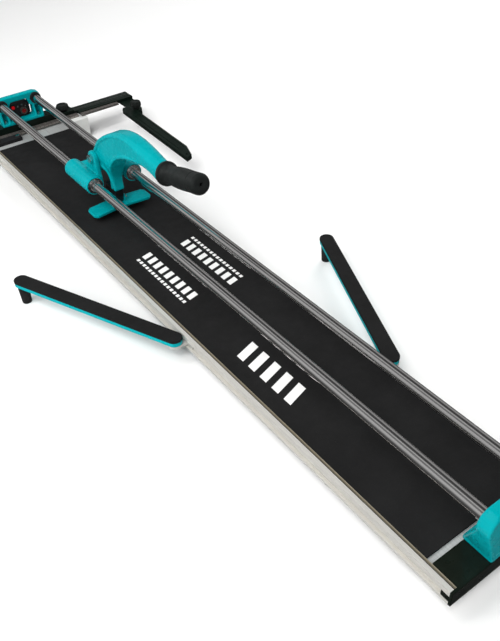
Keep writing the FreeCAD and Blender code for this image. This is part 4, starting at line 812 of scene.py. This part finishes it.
def world():
    """Soft studio surround, banded along the rails so that polished metal has contrast."""
    surround = bpy.data.worlds.new("studio")
    bpy.context.scene.world = surround
    surround.use_nodes = True
    tree = surround.node_tree
    coords = tree.nodes.new("ShaderNodeTexCoord")
    split = tree.nodes.new("ShaderNodeSeparateXYZ")
    tree.links.new(coords.outputs["Generated"], split.inputs["Vector"])
    angle = tree.nodes.new("ShaderNodeMath")
    angle.operation = "ARCTAN2"
    tree.links.new(split.outputs["X"], angle.inputs[0])
    tree.links.new(split.outputs["Z"], angle.inputs[1])
    place = tree.nodes.new("ShaderNodeMapRange")
    place.inputs["From Min"].default_value = -math.pi
    place.inputs["From Max"].default_value = math.pi
    tree.links.new(angle.outputs["Value"], place.inputs["Value"])
    ramp = tree.nodes.new("ShaderNodeValToRGB")
    tree.links.new(place.outputs["Result"], ramp.inputs["Fac"])
    stops = [
        (-180, 0.12), (-100, 0.14), (-84, 0.4), (-72, 0.8), (-46, 1.0), (-40, 0.34), (-18, 0.26), (-12, 0.9),
        (0, 0.9), (6, 0.12), (40, 0.10), (48, 0.5), (62, 0.7), (84, 0.4), (100, 0.14), (180, 0.12),
    ]
    band = ramp.color_ramp
    while len(band.elements) > 1:
        band.elements.remove(band.elements[-1])
    for number, (degrees, level) in enumerate(stops):
        position = (degrees + 180) / 360
        stop = band.elements[0] if number == 0 else band.elements.new(position)
        stop.position = position
        stop.color = (level, level, level, 1)
    back = tree.nodes["Background"]
    tree.links.new(ramp.outputs["Color"], back.inputs["Color"])
    back.inputs["Strength"].default_value = WORLD_STRENGTH


def camera():
    """Camera at the photograph's angle, high at the operator's left."""
    data = bpy.data.cameras.new("photo_view")
    data.sensor_width = SENSOR_WIDTH
    data.lens = SENSOR_WIDTH * FOCAL_PIXELS / PICTURE_HEIGHT
    data.clip_start = 0.05
    data.clip_end = 60.0
    pitch, roll, yaw = CAMERA_PITCH, CAMERA_ROLL, CAMERA_YAW
    ahead = Vector((-math.sin(yaw) * math.cos(pitch), math.cos(yaw) * math.cos(pitch), -math.sin(pitch)))
    right = Vector((math.cos(yaw), math.sin(yaw), 0))
    up = right.cross(ahead)
    rolled_right = right * math.cos(roll) + up * math.sin(roll)
    rolled_up = -right * math.sin(roll) + up * math.cos(roll)
    holder = bpy.data.objects.new("photo_view", data)
    bpy.context.scene.collection.objects.link(holder)
    turn = Matrix((rolled_right, rolled_up, -ahead)).transposed()
    holder.matrix_world = Matrix.Translation(CAMERA_PLACE) @ turn.to_4x4()
    bpy.context.scene.camera = holder


# ---------------------------------------------------------------- build
CAST = {
    "near_rail_bracket": (0.7, 1.3), "far_rail_bracket": (0.7, 1.3), "carriage_body": (0.7, 1.2),
    "breaker_foot": (0.5, 0.8), "wheel_holder": (0.4, 0.45),
}
FINE = {
    "base_extrusion": 0.35, "near_end_cap": 0.6, "far_end_cap": 0.5, "near_stand": 1.0, "far_stand": 1.2,
    "stand_pads": 0.6, "near_bracket_screws": 0.4, "far_bracket_screws": 0.4, "rail_bumpers": 0.6,
    "linear_bearings": 0.4, "retaining_rings": 0.25, "pivot_bolt": 0.6, "pivot_nut": 0.6, "foot_pin": 0.3,
    "cutting_wheel": 0.08, "wheel_axle": 0.2, "stand_screws": 0.2, "break_bar": 0.3,
    "fence_rail": 0.35, "scale_strip": 0.3, "fence_slider": 0.3, "slider_scale": 0.2, "fence_elbow": 0.6,
    "elbow_rivets": 0.3, "stop_arm": 0.35, "laser_housing": 0.5, "laser_barrel": 0.5, "laser_lens": 0.2,
    "laser_button": 0.6, "laser_screws": 0.2, "deck_stop": 0.5, "deck_stop_screw": 0.6,
    "left_arm_bracket": 0.8, "right_arm_bracket": 0.8, "left_arm_bolt": 0.5, "right_arm_bolt": 0.5,
    "left_arm_channel": 0.5, "right_arm_channel": 0.5, "left_arm_foot": 0.6, "right_arm_foot": 0.6,
}


def build():
    """Every piece of the object, then the stage."""
    for node, (cell, soften) in CAST.items():
        cast(node, cell, soften)
    for node, bevel in FINE.items():
        machined(node, bevel)
    for node, item in frame["nodes"].items():
        if not item.hide_render:
            item.data.materials.clear()
            item.data.materials.append(MATERIALS[SLOT_OF[node]])
    lever()
    grip()
    knob("fence_clamp_knob", "clamp_knob_moulding", CLAMP_KNOB_CAP)
    knob("stop_arm_knob", "stop_knob_moulding", STOP_KNOB_CAP)
    rail("left_rail")
    rail("right_rail")
    pad_print()
    laser_backing()
    floor()
    camera()
    world()
    area_light("key", (-1.6, -1.4, 2.6), (0, 0, 0), (1.6, 1.6), 78, False)
    area_light("strip_left", (-1.5, 0.4, 1.7), (0, 0, 0.05), (0.35, 3.2), 29, False)
    area_light("gleam", (-1.5, 0.4, 1.7), (0, 0, 0.05), (0.35, 3.2), 11)
    area_light("fill", (2.2, 1.0, 2.2), (0, 0, 0), (2.0, 2.0), 56, False)
    bpy.context.scene.view_settings.view_transform = "Standard"


build()
bpy.context.view_layer.update()
